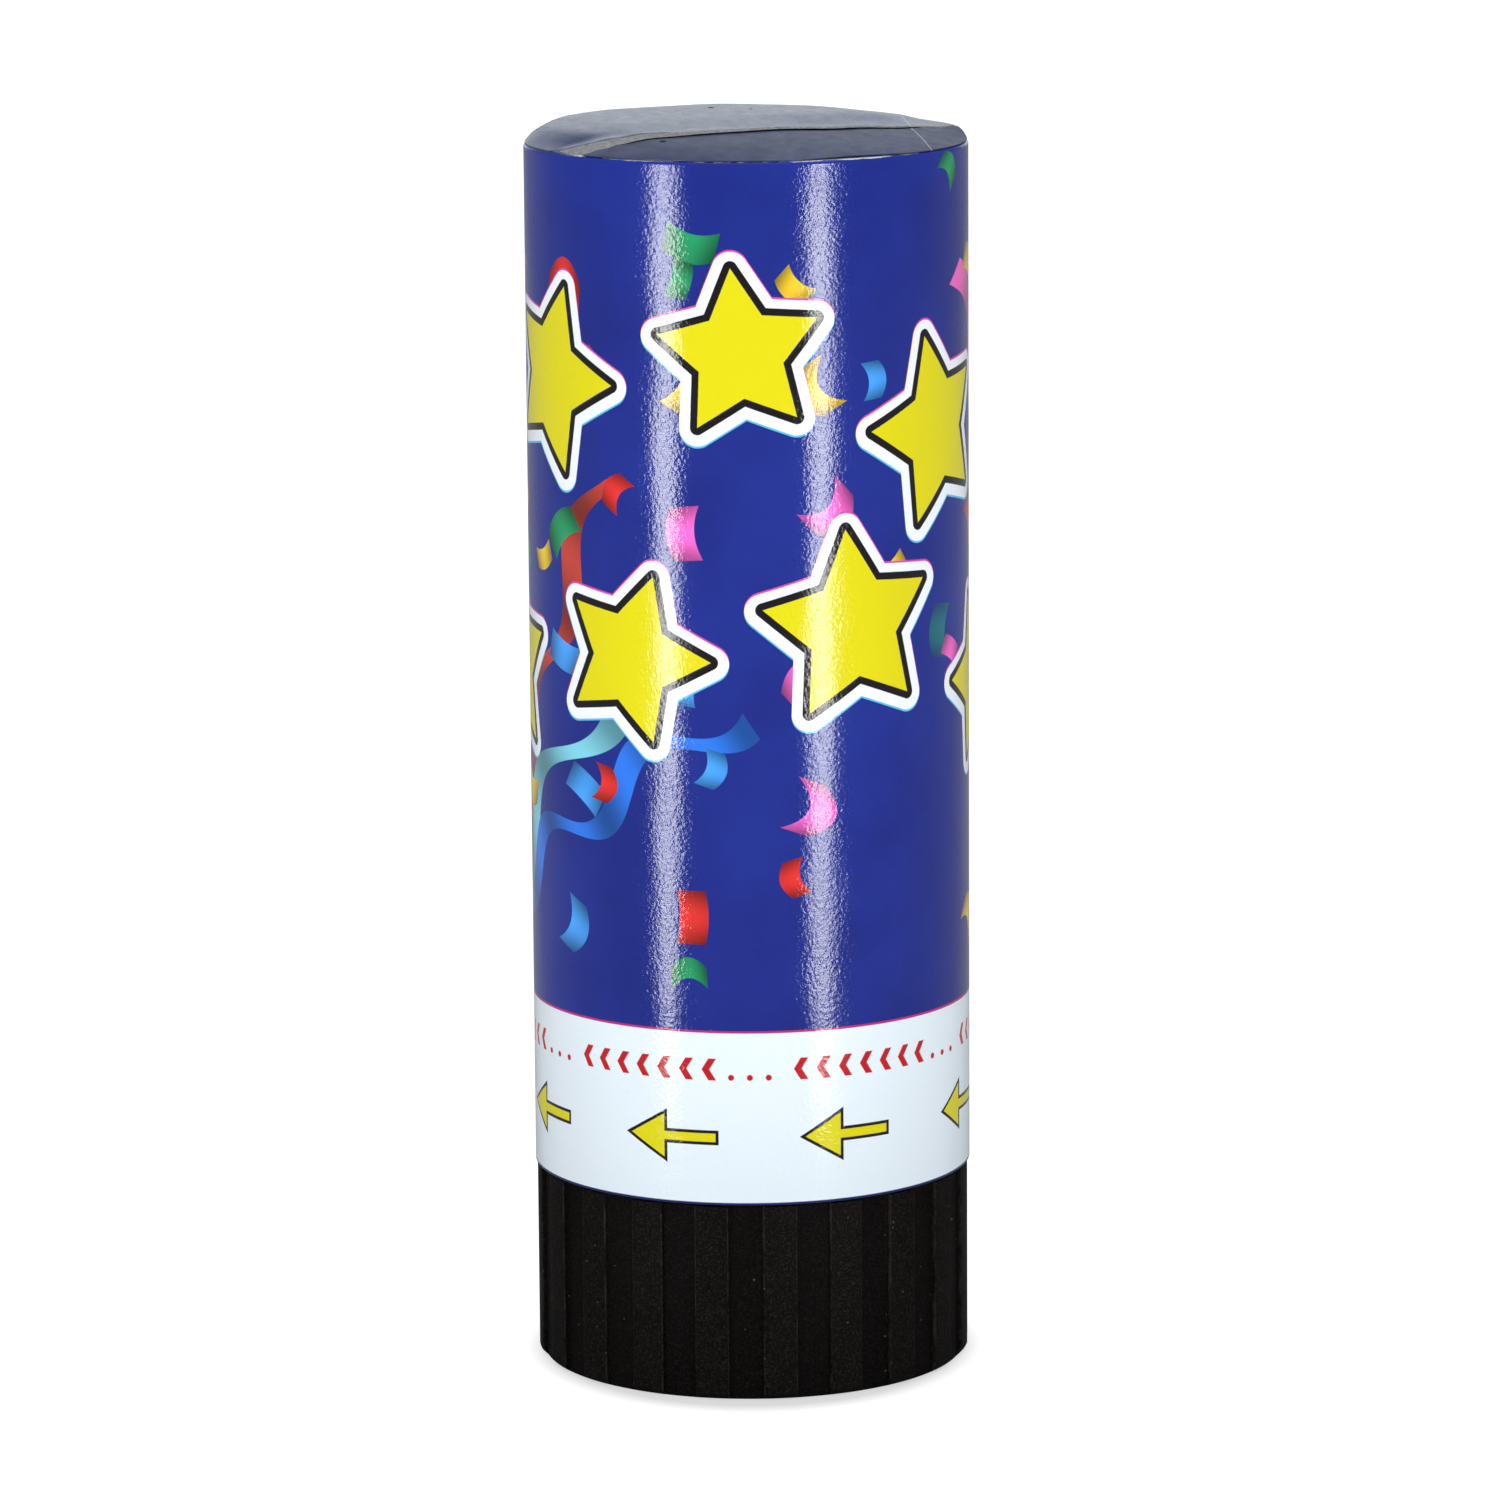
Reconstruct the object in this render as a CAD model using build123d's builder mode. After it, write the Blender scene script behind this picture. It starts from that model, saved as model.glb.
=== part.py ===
from build123d import *
import os
from math import cos, radians, sin, sqrt

os.makedirs("parts", exist_ok=True)

# A hand-held confetti popper of the twist-base kind: turning the ribbed base lets a spring go,
# and the spring drives a piston up the card barrel and throws the confetti out past the lid flaps.
# The origin is the middle of the face that it stands on, +Z runs up the barrel and -Y is the front.
# Lengths are in millimetres and angles in degrees. It is drawn at the trip point, where the base
# has turned far enough for the latch to line up with its slot, and the piston has yet to move.

# Barrel: a card tube inside a printed paper wrap
wrap_diameter = 38.0
wrap_thickness = 0.2
wrap_edge_bevel = 0.3
wrap_lap_angle = 22.0
wrap_lap_bearing = 62.0
glue_line = 0.02
tube_wall = 1.2
barrel_length = 88.8

# Twist cap: the ribbed base that the hand turns
cap_height = 17.0
cap_inset = 0.15
cap_wall = 1.55
cap_floor = 2.0
cap_edge_bevel = 0.5
rib_count = 20
rib_depth = 0.4
rib_width_share = 0.5
rib_bearing = 7.0
foot_width = 2.6
foot_recess = 0.8
twist_gap = 0.2

# Latch core: pressed into the cap, it carries the latch post and snaps into the barrel
core_fit = 0.1
core_floor = 1.8
spigot_wall = 1.5
spigot_step = 3.8
twist_clearance = 0.1
bead_drop = 2.2
bead_depth = 0.55
bead_height = 1.6
drive_rib_count = 6
drive_rib_width = 3.0
drive_rib_depth = 0.5
drive_rib_drop = 1.5
post_diameter = 4.4
post_root_diameter = 8.0
post_root_height = 3.0
head_length = 14.0
head_width = 4.2
head_height = 3.0
head_bevel = 0.8
boss_height = 1.6

# Guide collar: glued inside the barrel's foot, it holds the core's bead and the piston's keys
collar_fit = 0.05
collar_wall = 1.2
key_count = 2
key_width = 2.6
key_drop = 2.4
key_clearance = 0.3

# Piston cup and the card wad that lies on it
piston_rise = 3.0
piston_clearance = 0.3
hub_clearance = 0.6
hub_wall = 1.2
hub_floor = 2.0
latch_gap = 0.15
head_room = 3.0
flange_gap = 0.35
flange_thickness = 1.4
skirt_wall = 1.0
skirt_height = 4.4
slot_clearance = 0.5
wad_thickness = 1.5
wad_clearance = 0.3

# Launch spring, drawn compressed
wire_diameter = 1.8
wire_sides = 6
spring_diameter = 23.0
coil_gap = 1.6
seat_gap = 0.05

# Lid: two card flaps hinged at the rim, the back one lying over the front one's tongue
hinge_bearing = 119.6
lid_inset = 0.4
lid_gap = 0.1
root_setback = 0.8
back_thickness = 0.5
back_crown = 1.2
back_reach = 4.1
front_thickness = 0.3
front_crown = 0.8
front_edge_gap = 0.3
tongue_width = 18.0
tongue_stop = 0.5
tongue_corner = 3.0

# Confetti: folded strips in layers, four to a layer in a pinwheel and two to a layer in the heap
flake_width = 6.6
flake_thickness = 0.25
flake_curl = 2.6
flake_flat_share = 0.36
flake_gap = 0.35
flake_lane = 1.2
layer_turn = 33.0
pinwheel_count = 4
pair_count = 2
dish_every = 3
colours = ("red", "gold", "green", "blue", "pink")
low_layer_count = 5
mid_layer_count = 5
top_layer_count = 4

# All cuts run past the faces that they open by this much
overrun = 1.0

# Radii worked out from the outside in
wrap_radius = wrap_diameter / 2
tube_radius = wrap_radius - wrap_thickness - glue_line
bore_radius = tube_radius - tube_wall
cap_radius = wrap_radius - cap_inset
groove_radius = cap_radius - rib_depth
cap_bore = groove_radius - cap_wall
collar_radius = bore_radius - collar_fit
collar_bore = collar_radius - collar_wall
spigot_radius = collar_bore - twist_clearance
spigot_bore = spigot_radius - spigot_wall
piston_radius = bore_radius - piston_clearance
skirt_bore = piston_radius - skirt_wall
hub_radius = spigot_bore - hub_clearance
hub_bore = hub_radius - hub_wall
coil_radius = (spring_diameter - wire_diameter) / 2
boss_radius = coil_radius - wire_diameter

# Heights worked out from the floor up
barrel_foot = cap_height + twist_gap
rim_height = barrel_foot + barrel_length
core_top = cap_floor + core_floor
piston_base = cap_height + piston_rise
hub_floor_top = piston_base + hub_floor
head_base = hub_floor_top + latch_gap
head_top = head_base + head_height
flange_base = head_top + head_room
flange_top = flange_base + flange_thickness
collar_top = flange_base - flange_gap
spigot_top = collar_top - spigot_step
bead_middle = spigot_top - bead_drop
skirt_top = flange_top + skirt_height
wad_top = flange_top + wad_thickness

# Printed wrap: a paper sleeve turned in over the rim, with its lapped seam at the back
with BuildPart() as printed_wrap:
    with BuildSketch(Plane.XZ):
        with BuildLine():
            Polyline(
                (wrap_radius - wrap_thickness, barrel_foot),
                (wrap_radius, barrel_foot),
                (wrap_radius, rim_height - wrap_edge_bevel),
                (wrap_radius - wrap_edge_bevel, rim_height),
                (bore_radius, rim_height),
                (bore_radius, rim_height - wrap_thickness),
                (wrap_radius - wrap_thickness, rim_height - wrap_thickness),
                close=True,
            )
        make_face()
    revolve(axis=Axis.Z)
    with BuildSketch(Plane.XY.offset(barrel_foot)):
        with BuildLine():
            lap_start = wrap_lap_bearing - wrap_lap_angle / 2
            lap_inner = CenterArc((0, 0), wrap_radius - wrap_thickness / 2, lap_start, wrap_lap_angle)
            lap_outer = CenterArc((0, 0), wrap_radius + wrap_thickness, lap_start, wrap_lap_angle)
            Line(lap_inner @ 0, lap_outer @ 0)
            Line(lap_inner @ 1, lap_outer @ 1)
        make_face()
    extrude(amount=barrel_length - wrap_edge_bevel)
printed_wrap.part.label = "printed_wrap"
export_step(printed_wrap.part, "parts/printed_wrap.step")

# Paper tube: the spiral-wound card barrel under the wrap
with BuildPart() as paper_tube:
    with BuildSketch(Plane.XY.offset(barrel_foot)):
        Circle(tube_radius)
        Circle(bore_radius, mode=Mode.SUBTRACT)
    extrude(amount=barrel_length - wrap_thickness - glue_line)
paper_tube.part.label = "paper_tube"
export_step(paper_tube.part, "parts/paper_tube.step")

# Twist cap: a moulded cup with wide ribs outside and slots inside that drive the core
with BuildPart() as twist_cap:
    with BuildSketch():
        rib_half_angle = radians(rib_width_share * 360 / rib_count / 2)
        rib_tip = 2 * cap_radius
        rib_side = rib_tip * sin(rib_half_angle) / cos(rib_half_angle)
        with PolarLocations(0, rib_count, rib_bearing):
            Polygon((0, 0), (rib_tip, -rib_side), (rib_tip, rib_side), align=None)
        Circle(cap_radius, mode=Mode.INTERSECT)
        Circle(groove_radius)
    extrude(amount=cap_height)
    with BuildSketch(Plane.XZ):
        with BuildLine():
            Polyline(
                (cap_radius - cap_edge_bevel - overrun, -overrun),
                (cap_radius + overrun, -overrun),
                (cap_radius + overrun, cap_edge_bevel + overrun),
                close=True,
            )
        make_face()
    revolve(axis=Axis.Z, mode=Mode.SUBTRACT)
    with BuildSketch():
        Circle(cap_radius - cap_edge_bevel - foot_width)
    extrude(amount=foot_recess, mode=Mode.SUBTRACT)
    with BuildSketch(Plane.XY.offset(cap_floor)):
        Circle(cap_bore)
        with PolarLocations(cap_bore, drive_rib_count):
            slot_length = 2 * (drive_rib_depth + core_fit)
            Rectangle(slot_length, drive_rib_width + 2 * core_fit)
    extrude(amount=cap_height, mode=Mode.SUBTRACT)
twist_cap.part.label = "twist_cap"
export_step(twist_cap.part, "parts/twist_cap.step")

# Latch core: floor, spigot with its snap bead, spring boss and post turned as one form,
# then the ribs that the cap drives and the T head that holds the piston down
with BuildPart() as latch_core:
    with BuildSketch(Plane.XZ):
        with BuildLine():
            Polyline(
                (0, cap_floor),
                (cap_bore - core_fit, cap_floor),
                (cap_bore - core_fit, core_top),
                (spigot_radius, core_top),
                (spigot_radius, bead_middle - bead_height / 2),
                (spigot_radius + bead_depth, bead_middle),
                (spigot_radius, bead_middle + bead_height / 2),
                (spigot_radius, spigot_top),
                (spigot_bore, spigot_top),
                (spigot_bore, core_top),
                (boss_radius, core_top),
                (boss_radius, core_top + boss_height),
                (post_root_diameter / 2, core_top + boss_height),
                (post_diameter / 2, core_top + boss_height + post_root_height),
                (post_diameter / 2, head_base),
                (0, head_base),
                close=True,
            )
        make_face()
    revolve(axis=Axis.Z)
    with BuildSketch(Plane.XY.offset(cap_floor)):
        with PolarLocations((spigot_bore + cap_bore + drive_rib_depth) / 2, drive_rib_count):
            Rectangle(cap_bore + drive_rib_depth - spigot_bore, drive_rib_width)
        Circle((spigot_radius + spigot_bore) / 2, mode=Mode.SUBTRACT)
    extrude(amount=cap_height - cap_floor - drive_rib_drop)
    with BuildSketch(Plane.XY.offset(head_base)):
        SlotOverall(head_length, head_width)
    extrude(amount=head_height)
    chamfer(latch_core.faces().sort_by(Axis.Z)[-1].edges(), head_bevel)
latch_core.part.label = "latch_core"
export_step(latch_core.part, "parts/latch_core.step")

# Guide collar: a moulded ring with a groove for the bead and two notches for the piston's keys
with BuildPart() as guide_collar:
    with BuildSketch(Plane.XZ):
        with BuildLine():
            Polyline(
                (collar_radius, barrel_foot),
                (collar_radius, collar_top),
                (collar_bore, collar_top),
                (collar_bore, bead_middle + bead_height / 2 + twist_clearance),
                (collar_bore + bead_depth, bead_middle),
                (collar_bore, bead_middle - bead_height / 2 - twist_clearance),
                (collar_bore, barrel_foot),
                close=True,
            )
        make_face()
    revolve(axis=Axis.Z)
    with BuildSketch(Plane.XY.offset(flange_base - key_drop - key_clearance)):
        with PolarLocations(collar_bore, key_count):
            Rectangle(2 * (collar_wall + overrun), key_width + 2 * key_clearance)
    extrude(amount=key_drop + key_clearance, mode=Mode.SUBTRACT)
guide_collar.part.label = "guide_collar"
export_step(guide_collar.part, "parts/guide_collar.step")

# Piston cup: the hub hangs inside the core round the latch head, and the skirt guides it in the tube
with BuildPart() as piston_cup:
    with BuildSketch(Plane.XZ):
        with BuildLine():
            Polyline(
                (0, piston_base - boss_height),
                (boss_radius, piston_base - boss_height),
                (boss_radius, piston_base),
                (hub_radius, piston_base),
                (hub_radius, flange_base),
                (piston_radius, flange_base),
                (piston_radius, skirt_top),
                (skirt_bore, skirt_top),
                (skirt_bore, flange_top),
                (hub_bore, flange_top),
                (hub_bore, hub_floor_top),
                (0, hub_floor_top),
                close=True,
            )
        make_face()
    revolve(axis=Axis.Z)
    with BuildSketch(Plane.XY.offset(piston_base - boss_height)):
        SlotOverall(head_length + 2 * slot_clearance, head_width + 2 * slot_clearance)
    extrude(amount=boss_height + hub_floor, mode=Mode.SUBTRACT)
    with BuildSketch(Plane.XY.offset(flange_base)):
        with PolarLocations((collar_bore + piston_radius) / 2, key_count):
            Rectangle(piston_radius - collar_bore, key_width)
        Circle(piston_radius, mode=Mode.INTERSECT)
    extrude(amount=-key_drop)
piston_cup.part.label = "piston_cup"
export_step(piston_cup.part, "parts/piston_cup.step")

# Wad: the card disc that closes the piston cup and carries the confetti
with BuildPart() as wad_disc:
    with BuildSketch(Plane.XY.offset(flange_top)):
        Circle(skirt_bore - wad_clearance)
    extrude(amount=wad_thickness)
wad_disc.part.label = "wad_disc"
export_step(wad_disc.part, "parts/wad_disc.step")

# Launch spring: as many turns as fit between the core's floor and the piston
coil_foot = core_top + seat_gap + wire_diameter / 2
coil_rise = piston_base - seat_gap - wire_diameter / 2 - coil_foot
half_turns = int(2 * coil_rise / (wire_diameter + coil_gap))


def coil_point(half_turn):
    angle = radians(180 * half_turn)
    height = coil_foot + coil_rise * half_turn / half_turns
    return Vector(coil_radius * cos(angle), coil_radius * sin(angle), height)


def coil_tangent(half_turn):
    angle = radians(180 * half_turn)
    half_length = radians(180) * coil_radius
    return Vector(-half_length * sin(angle), half_length * cos(angle), coil_rise / half_turns).normalized()


def biarc_middle(start, start_way, end, end_way):
    """The point where two arcs meet smoothly between two points with set directions, and their way there."""
    span = end - start
    ways = start_way + end_way
    bend = 2 * (1 - start_way.dot(end_way))
    along = span.dot(ways)
    reach = (sqrt(along * along + bend * span.dot(span)) - along) / bend
    first_corner = start + start_way * reach
    last_corner = end - end_way * reach
    return (first_corner + last_corner) * 0.5, (last_corner - first_corner).normalized()


with BuildPart() as launch_spring:
    with BuildLine() as coil:
        for turn in range(half_turns):
            here, there = coil_point(turn), coil_point(turn + 1)
            middle, middle_way = biarc_middle(here, coil_tangent(turn), there, coil_tangent(turn + 1))
            TangentArc(here, middle, tangent=coil_tangent(turn))
            TangentArc(middle, there, tangent=middle_way)
    with BuildSketch(Plane(origin=coil_point(0), z_dir=coil_tangent(0))):
        RegularPolygon(wire_diameter / 2, wire_sides)
    sweep(path=coil.line)
launch_spring.part.label = "launch_spring"
export_step(launch_spring.part, "parts/launch_spring.step")

# The spring's least gap to itself is measured between points at least half a turn apart
points_per_half_turn = 12
coil_steps = half_turns * points_per_half_turn
coil_points = [coil_point(step / points_per_half_turn) for step in range(coil_steps + 1)]
least_gap = min(
    (coil_points[first] - coil_points[second]).length - wire_diameter
    for first in range(coil_steps + 1)
    for second in range(first + points_per_half_turn, coil_steps + 1)
)
print(f"launch_spring: {half_turns / 2} turns, least gap to itself {least_gap:.2f} mm")

# Lid flaps: the back one is an arched card and the front one a shallow cone that meets the rim all along,
# each cut to the rim's circle and to its own hinge chord
lid_radius = wrap_radius - lid_inset
hinge_radius = wrap_radius - wrap_thickness / 2
root_chord = hinge_radius - root_setback
lid_centre = (0, 0, rim_height + lid_gap)
hinge_way = (cos(radians(hinge_bearing)), sin(radians(hinge_bearing)), 0)
side_way = (hinge_way[1], -hinge_way[0], 0)
lid_plane = Plane(origin=lid_centre, x_dir=side_way, z_dir=(0, 0, 1))
arch_plane = Plane(origin=lid_centre, x_dir=side_way, z_dir=(-hinge_way[0], -hinge_way[1], 0))

with BuildPart() as lid_flap_back:
    with BuildSketch(arch_plane):
        with BuildLine():
            under = ThreePointArc((-lid_radius, 0), (0, back_crown), (lid_radius, 0))
            right_side = Line(under @ 1, (lid_radius, back_thickness))
            left_side = Line(under @ 0, (-lid_radius, back_thickness))
            ThreePointArc(left_side @ 1, (0, back_crown + back_thickness), right_side @ 1)
        make_face()
    extrude(amount=lid_radius, both=True)
    with BuildSketch(lid_plane):
        Circle(lid_radius)
        with Locations((0, (root_chord - back_reach) / 2)):
            Rectangle(2 * lid_radius, root_chord + back_reach, mode=Mode.INTERSECT)
    extrude(amount=back_crown + back_thickness + overrun, mode=Mode.INTERSECT)
lid_flap_back.part.label = "lid_flap_back"
export_step(lid_flap_back.part, "parts/lid_flap_back.step")

with BuildPart() as lid_flap_front:
    with BuildSketch(Plane.XZ.shift_origin(lid_centre)):
        with BuildLine():
            Polyline(
                (lid_radius, 0),
                (0, front_crown),
                (0, front_crown + front_thickness),
                (lid_radius, front_thickness),
                close=True,
            )
        make_face()
    revolve(axis=Axis.Z)
    with BuildSketch(lid_plane) as front_outline:
        Circle(lid_radius)
        front_edge = back_reach + front_edge_gap
        with Locations((0, -(root_chord + front_edge) / 2)):
            Rectangle(2 * lid_radius, root_chord - front_edge, mode=Mode.INTERSECT)
        with Locations((0, -(front_edge + tongue_stop) / 2)):
            Rectangle(tongue_width, front_edge - tongue_stop)
        fillet(front_outline.vertices().sort_by(Axis.Y)[-2:], tongue_corner)
    extrude(amount=front_crown + front_thickness + overrun, mode=Mode.INTERSECT)
lid_flap_front.part.label = "lid_flap_front"
export_step(lid_flap_front.part, "parts/lid_flap_front.step")

# Confetti: the layers make three charges, one above the other, and each colour in a charge is a node of its own
flake_reach = skirt_bore - wad_clearance
pinwheel_end = sqrt(flake_reach**2 - (flake_lane + flake_width) ** 2)
pinwheel_start = flake_gap - flake_lane
flake_length = pinwheel_end - pinwheel_start
pinwheel_middle = ((pinwheel_start + pinwheel_end) / 2, flake_lane + flake_width / 2)
pair_middle = (0, (flake_gap + flake_width) / 2)
layer_pitch = flake_curl + flake_thickness + flake_gap
layer_counts = {"low": low_layer_count, "mid": mid_layer_count, "top": top_layer_count}
layer_charges = [charge for charge, count in layer_counts.items() for _ in range(count)]

flakes = {(charge, colour): [] for charge in layer_counts for colour in colours}
flake_number = 0
for layer, charge in enumerate(layer_charges):
    places = pair_count if charge == "top" else pinwheel_count
    middle_x, middle_y = pair_middle if charge == "top" else pinwheel_middle
    for place in range(places):
        bearing = layer * layer_turn + place * 360 / places
        way = Vector(1, 0, 0).rotate(Axis.Z, bearing)
        middle = Vector(middle_x, middle_y, wad_top + flake_gap + layer * layer_pitch)
        arches_up = flake_number % dish_every > 0
        plane = Plane(origin=middle.rotate(Axis.Z, bearing), x_dir=way, z_dir=way.cross(Vector(0, 0, 1)))
        flakes[charge, colours[flake_number % len(colours)]].append((plane, arches_up))
        flake_number += 1

for (charge, colour), strips in flakes.items():
    with BuildPart() as confetti:
        for plane, arches_up in strips:
            end_height = 0 if arches_up else flake_curl
            middle_height = flake_curl - end_height
            fold = flake_flat_share * flake_length / 2
            with BuildSketch(plane):
                with BuildLine():
                    Polyline(
                        (-flake_length / 2, end_height),
                        (-fold, middle_height),
                        (fold, middle_height),
                        (flake_length / 2, end_height),
                        (flake_length / 2, end_height + flake_thickness),
                        (fold, middle_height + flake_thickness),
                        (-fold, middle_height + flake_thickness),
                        (-flake_length / 2, end_height + flake_thickness),
                        close=True,
                    )
                make_face()
            extrude(amount=flake_width / 2, both=True)
    confetti.part.label = f"confetti_{charge}_{colour}"
    export_step(confetti.part, f"parts/confetti_{charge}_{colour}.step")
print(f"confetti: {flake_number} strips of {flake_length:.1f} mm in {len(layer_charges)} layers")
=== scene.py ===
# %% [markdown]
# # Dressing a twist-base confetti popper
# The CAD model of the popper comes in first, as a fixed frame. It is a card barrel in a printed
# wrap, a ribbed base that twists, a spring and a piston inside, and a lid of two card flaps.
# Everything that follows is laid over that frame in the same metres and at the same place, so
# no piece is fitted by eye. The CAD box is kept now, so that the dressed model's box can be set beside it at
# the end.

# %% Load the frame
import bmesh
import bpy
from functools import reduce
from math import atan2, cos, degrees, hypot, pi, radians, sin, sqrt, tan
from mathutils import Matrix, Vector


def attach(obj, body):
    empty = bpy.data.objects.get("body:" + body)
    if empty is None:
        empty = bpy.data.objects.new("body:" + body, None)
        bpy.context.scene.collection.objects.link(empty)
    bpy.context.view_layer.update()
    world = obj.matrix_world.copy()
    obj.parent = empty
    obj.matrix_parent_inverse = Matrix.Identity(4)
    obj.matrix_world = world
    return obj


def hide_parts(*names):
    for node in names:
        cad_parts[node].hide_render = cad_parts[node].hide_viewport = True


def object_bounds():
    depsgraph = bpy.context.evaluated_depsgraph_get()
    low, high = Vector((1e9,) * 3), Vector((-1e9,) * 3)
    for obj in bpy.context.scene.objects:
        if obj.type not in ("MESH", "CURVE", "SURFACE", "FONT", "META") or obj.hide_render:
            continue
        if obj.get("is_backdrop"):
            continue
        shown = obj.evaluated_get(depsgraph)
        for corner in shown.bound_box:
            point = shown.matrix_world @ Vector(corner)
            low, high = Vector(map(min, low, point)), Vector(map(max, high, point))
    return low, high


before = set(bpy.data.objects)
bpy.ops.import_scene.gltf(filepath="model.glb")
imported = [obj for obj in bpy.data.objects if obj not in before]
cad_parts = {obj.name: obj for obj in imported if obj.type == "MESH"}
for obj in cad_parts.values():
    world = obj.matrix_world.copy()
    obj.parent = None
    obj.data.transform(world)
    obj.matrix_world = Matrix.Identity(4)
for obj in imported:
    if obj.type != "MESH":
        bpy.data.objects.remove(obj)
cad_low, cad_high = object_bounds()
MM = 0.001
print("CAD box in mm:", [round(value / MM, 2) for value in (cad_high - cad_low)])

# %% [markdown]
# ## The studio
# The real popper was photographed on a white table, a little from above, with a long lens and
# two tall soft lamps in front, one to each side. A long lens keeps the sides of the barrel almost
# straight. The camera here stands 0.6 m away and looks down by about ten degrees, and a very
# small roll copies how the popper leans in the picture.

# %% Camera
camera = bpy.data.objects.new("camera", bpy.data.cameras.new("camera"))
bpy.context.scene.collection.objects.link(camera)
camera.data.sensor_width = 36.0
camera.data.lens = 168.8
camera.data.clip_start = 0.01
camera.location = (0.0, -0.600, 0.1638)
look_down = 0.1825
camera_roll = -0.0069
tilt = Matrix.Rotation(pi / 2 - look_down, 3, "X")
roll = Matrix.Rotation(camera_roll, 3, "Z")
camera.rotation_euler = (tilt @ roll).to_euler()
bpy.context.scene.camera = camera
bpy.context.scene.view_settings.view_transform = "Standard"
print("camera looks down by", round(degrees(look_down), 1), "degrees")

# %% [markdown]
# The two lamps are narrow upright panels close to the popper and just out of the picture. A glossy
# barrel shows them as two upright streaks, which is what makes the wrap look varnished. Each has a grid
# in front, as a studio lamp may have, so that it looks bright from the barrel and lights little else.
# A wide panel overhead fills the lid and the floor. Area lamps were chosen because their shape shows
# in gloss. Blender calls the grid's opening the spread, and it keeps the power, so the power comes down.

# %% Lamps
def studio_panel(name, width, height, place, aim, radiance, spread=180):
    """An area lamp of that size, turned to face a point. Its power follows from how bright it looks."""
    panel = bpy.data.lights.new(name, "AREA")
    panel.shape = "RECTANGLE"
    panel.size, panel.size_y = width, height
    half_spread = radians(spread) / 2
    let_through = 1.0 if spread == 180 else 1 - half_spread / tan(half_spread)
    panel.energy = radiance * let_through * pi * width * height
    panel.spread = radians(spread)
    lamp = bpy.data.objects.new(name, panel)
    bpy.context.scene.collection.objects.link(lamp)
    lamp.location = place
    lamp.rotation_euler = (Vector(aim) - Vector(place)).to_track_quat("-Z", "Y").to_euler()
    return lamp


panel_distance, panel_width, panel_height = 0.15, 0.024, 0.30
panel_middle = panel_height / 2 + 0.002
panel_aim = (0, 0, panel_middle + 0.012)
streak_radiance, streak_spread, fill_radiance = 23.0, 44, 1.0
for side, bearing in (("left", -41.0), ("right", 36.0)):
    across = panel_distance * sin(radians(bearing))
    ahead = -panel_distance * cos(radians(bearing))
    place = (across, ahead, panel_middle)
    studio_panel(f"strip_{side}", panel_width, panel_height, place, panel_aim, streak_radiance, streak_spread)
studio_panel("overhead", 1.0, 1.0, (0, 0.1, 1.1), (0, 0, 0), fill_radiance)

# %% [markdown]
# A shader is a network of small nodes. Here a node's output is wrapped as a Value, and arithmetic on a
# Value adds a Math node, so that a shader reads like a formula. A plain number is set on the socket,
# and a Value is joined to it with a link.

# %% Values and nodes
def arithmetic(operation):
    """An operator of two values. It works on vectors where one of them is a vector."""
    def work(one, other):
        kinds = [value.socket.type for value in (one, other) if isinstance(value, Value)]
        return (vector if "VECTOR" in kinds else calc)(operation, one, other)
    return work


class Value:
    """A node's output. Arithmetic on it adds Math nodes."""

    __add__, __sub__, __mul__ = arithmetic("ADD"), arithmetic("SUBTRACT"), arithmetic("MULTIPLY")
    __truediv__, __mod__ = arithmetic("DIVIDE"), arithmetic("FLOORED_MODULO")

    def __init__(self, socket):
        self.socket = socket

    def __rsub__(self, other):
        return calc("SUBTRACT", other, self)

    def __abs__(self):
        return calc("ABSOLUTE", self)


def join(value, socket):
    if isinstance(value, Value):
        socket.id_data.links.new(value.socket, socket)
    else:
        socket.default_value = value


def add_node(kind, inputs, **settings):
    """Adds a node to the tree that its inputs come from."""
    tree = next(value.socket.id_data for value in inputs.values() if isinstance(value, Value))
    made = tree.nodes.new(kind)
    for name, value in settings.items():
        setattr(made, name, value)
    for name, value in inputs.items():
        join(value, made.inputs[name])
    return made


def make(kind, inputs, out=0, **settings):
    return Value(add_node(kind, inputs, **settings).outputs[out])


def outputs_of(made):
    return {socket.name: Value(socket) for socket in made.outputs}


def calc(operation, *values, clamp=False):
    return make("ShaderNodeMath", dict(enumerate(values)), operation=operation, use_clamp=clamp)


def vector(operation, *values):
    out = 1 if operation in ("LENGTH", "DISTANCE", "DOT_PRODUCT") else 0
    return make("ShaderNodeVectorMath", dict(enumerate(values)), out, operation=operation)


print("values ready")

# %% [markdown]
# On these rest the words that the shaders below are written in: a mask with a soft edge, paint laid over
# paint, a noise, a turn about the upright axis. A group is used by its name, as a function is.

# %% Words for shaders
def axes(value):
    return [Value(socket) for socket in add_node("ShaderNodeSeparateXYZ", {0: value}).outputs]


def xyz(x, y, z=0.0):
    return make("ShaderNodeCombineXYZ", {0: x, 1: y, 2: z})


def spun(place, angle):
    return make("ShaderNodeVectorRotate", {"Vector": place, "Angle": angle}, rotation_type="Z_AXIS")


def inside(distance, edge, soft=0.05):
    """1 where the distance is under the edge and 0 beyond it, with a narrow soft border."""
    return calc("MULTIPLY_ADD", edge - distance, 1 / soft, 0.5, clamp=True)


def both(*masks):
    return reduce(lambda product, mask: product * mask, masks)


def least(*values):
    return reduce(lambda low, value: calc("MINIMUM", low, value), values)


def most(*values):
    return reduce(lambda high, value: calc("MAXIMUM", high, value), values)


def paint(mask, under, over):
    """Lays one colour over another where the mask is 1."""
    return make("ShaderNodeMix", {0: mask, 6: under, 7: over}, 2, data_type="RGBA")


def shade(colour, amount):
    """A colour made darker or lighter by a factor that changes over the surface."""
    colours = {0: 1.0, 6: colour, 7: xyz(amount, amount, amount)}
    return make("ShaderNodeMix", colours, 2, data_type="RGBA", blend_type="MULTIPLY")


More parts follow.
